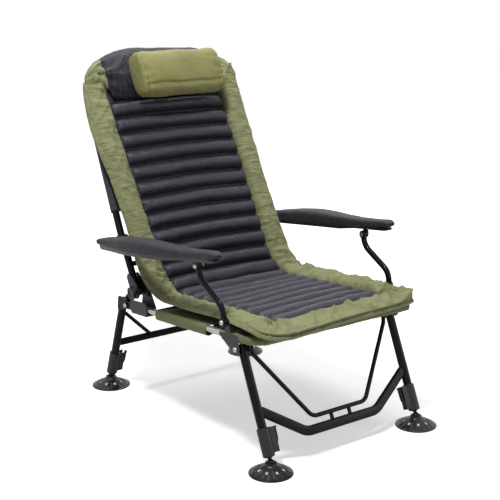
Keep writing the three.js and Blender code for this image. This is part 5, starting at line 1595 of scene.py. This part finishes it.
def apron_section():
    """The front edge of the seat's cloth: from the sheet over the front tube, round it and back under."""
    wrap = SEAT_TUBE + SLEEVE_GAP
    points = [(0.236, 0.0006), (0.150, 0.0008), (0.080, 0.0018), (0.045, 0.0030), (0.020, 0.0068)]
    for step in range(APRON_TURNS + 1):
        angle = math.radians(62 + 208 * step / APRON_TURNS)
        points.append((wrap * math.cos(angle), wrap * math.sin(angle)))
    return np.array(points + [(0.014, -0.0095), (0.030, -0.0040)])


apron_points = apron_section()
apron_lengths = lengths_along(apron_points)


def place_apron(u, v):
    """World points of the seat cloth's front edge."""
    along = np.interp(v * apron_lengths[-1], apron_lengths, apron_points[:, 0])
    above = np.interp(v * apron_lengths[-1], apron_lengths, apron_points[:, 1])
    x = APRON_HALF * (2 * u - 1)
    outward = 1 + 0.07 * ruffle(x / 0.035, v * 3, 87) + 0.03 * ruffle(x / 0.011, v * 7, 89)
    return from_side(x, along * outward, above * outward)


CORNER_SLEEVE = SEAT_TUBE + 0.0022
CORNER_SLEEVE_ALONG = 0.097
CORNER_SLEEVE_IN_X = 0.232
CORNER_WRINKLES = 0.0012
CORNER_WRINKLE_CELL = 0.012


def corner_sleeve():
    """The cloth drawn round the seat tube's left front corner."""
    route = bent_route(placed(
        seat_axes, (SEAT_HALF_WIDTH, CORNER_SLEEVE_ALONG, 0), (SEAT_HALF_WIDTH, 0, 0),
        (CORNER_SLEEVE_IN_X, 0, 0),
    ), SEAT_CORNER, TUBE_BEND_STEPS)
    bm = swept(route, CORNER_SLEEVE, CORNER_SLEEVE, seat_square, sides=36)
    for vert in bm.verts:
        across = vert.co.x / CORNER_WRINKLE_CELL
        wrinkle = float(ruffle(across, vert.co.y / CORNER_WRINKLE_CELL + vert.co.z / 0.02, 91))
        vert.co += vert.normal * CORNER_WRINKLES * wrinkle
    return bm


for side in SIDES:
    sleeve_bm = for_side(side, corner_sleeve())
    sleeve = finish_mesh(f"seat_sling_corner_{side}", sleeve_bm, sling_cloth, "seat", ("seat_sling",))

apron_cut = (2 * APRON_HALF, float(apron_lengths[-1]))
apron = finish_mesh(
    "seat_sling_apron", formed(120, 44, place_apron, cut=apron_cut), sling_cloth, "seat", ("seat_sling",),
)
add_wall(apron)

# Stage and light
FLOOR_REACH = 9.0
FLOOR_GLOW = 0.52
FAR_GLOW = 0.95
NEAR_FLOOR = 0.7
FAR_FLOOR = 2.6
floor_bm = bmesh.new()
bmesh.ops.create_grid(floor_bm, x_segments=1, y_segments=1, size=FLOOR_REACH)
floor_mesh = bpy.data.meshes.new("floor")
floor_bm.to_mesh(floor_mesh)
floor_bm.free()
floor_finish, floor_tree, floor_shader = principled("floor_finish", Roughness=0.95)
floor_shader.inputs["Base Color"].default_value = (0.93, 0.93, 0.93, 1.0)
floor_shader.inputs["Emission Color"].default_value = (1.0, 1.0, 1.0, 1.0)
seen_directly = add_node(floor_tree, "ShaderNodeLightPath").outputs["Is Camera Ray"]
from_middle = add_node(
    floor_tree, "ShaderNodeVectorMath", {0: object_coordinates(floor_tree)}, operation="LENGTH",
).outputs["Value"]
glow_reach = add_node(floor_tree, "ShaderNodeMapRange", {
    "Value": from_middle, "From Min": NEAR_FLOOR, "From Max": FAR_FLOOR,
    "To Min": FLOOR_GLOW, "To Max": FAR_GLOW,
}).outputs["Result"]
floor_glow = maths(floor_tree, "MULTIPLY", seen_directly, glow_reach)
floor_tree.links.new(floor_glow, floor_shader.inputs["Emission Strength"])
floor_mesh.materials.append(floor_finish)
floor = bpy.data.objects.new("floor", floor_mesh)
bpy.context.scene.collection.objects.link(floor)

world = bpy.data.worlds.new("studio")
bpy.context.scene.world = world
world.use_nodes = True
world_tree = world.node_tree
background = world_tree.nodes["Background"]
light_path = add_node(world_tree, "ShaderNodeLightPath")
seen = maths(
    world_tree, "MAXIMUM",
    light_path.outputs["Is Camera Ray"],
    maths(
        world_tree, "MAXIMUM",
        light_path.outputs["Is Glossy Ray"],
        light_path.outputs["Is Transmission Ray"],
    ),
)
AMBIENT = 0.10
strength = add_node(
    world_tree, "ShaderNodeMapRange",
    {"Value": seen, "To Min": AMBIENT, "To Max": 1.0},
).outputs["Result"]
background.inputs["Color"].default_value = (1.0, 1.0, 1.0, 1.0)
world_tree.links.new(strength, background.inputs["Strength"])

LAMPS = (
    ("key", (-1.3, -0.8, 3.6), 0.6, 104.0),
    ("fill", (2.4, -2.2, 1.3), 1.4, 12.0),
    ("top", (0.8, 1.2, 3.2), 0.9, 42.0),
)
lamp_aim = Vector((0.0, 0.0, 0.5))
for name, place, width, power in LAMPS:
    lamp_data = bpy.data.lights.new(name, "AREA")
    lamp_data.shape = "SQUARE"
    lamp_data.size = width
    lamp_data.energy = power
    lamp = bpy.data.objects.new(name, lamp_data)
    bpy.context.scene.collection.objects.link(lamp)
    aim = lamp_aim - Vector(place)
    lamp.matrix_world = Matrix.Translation(place) @ aim.to_track_quat("-Z", "Y").to_matrix().to_4x4()
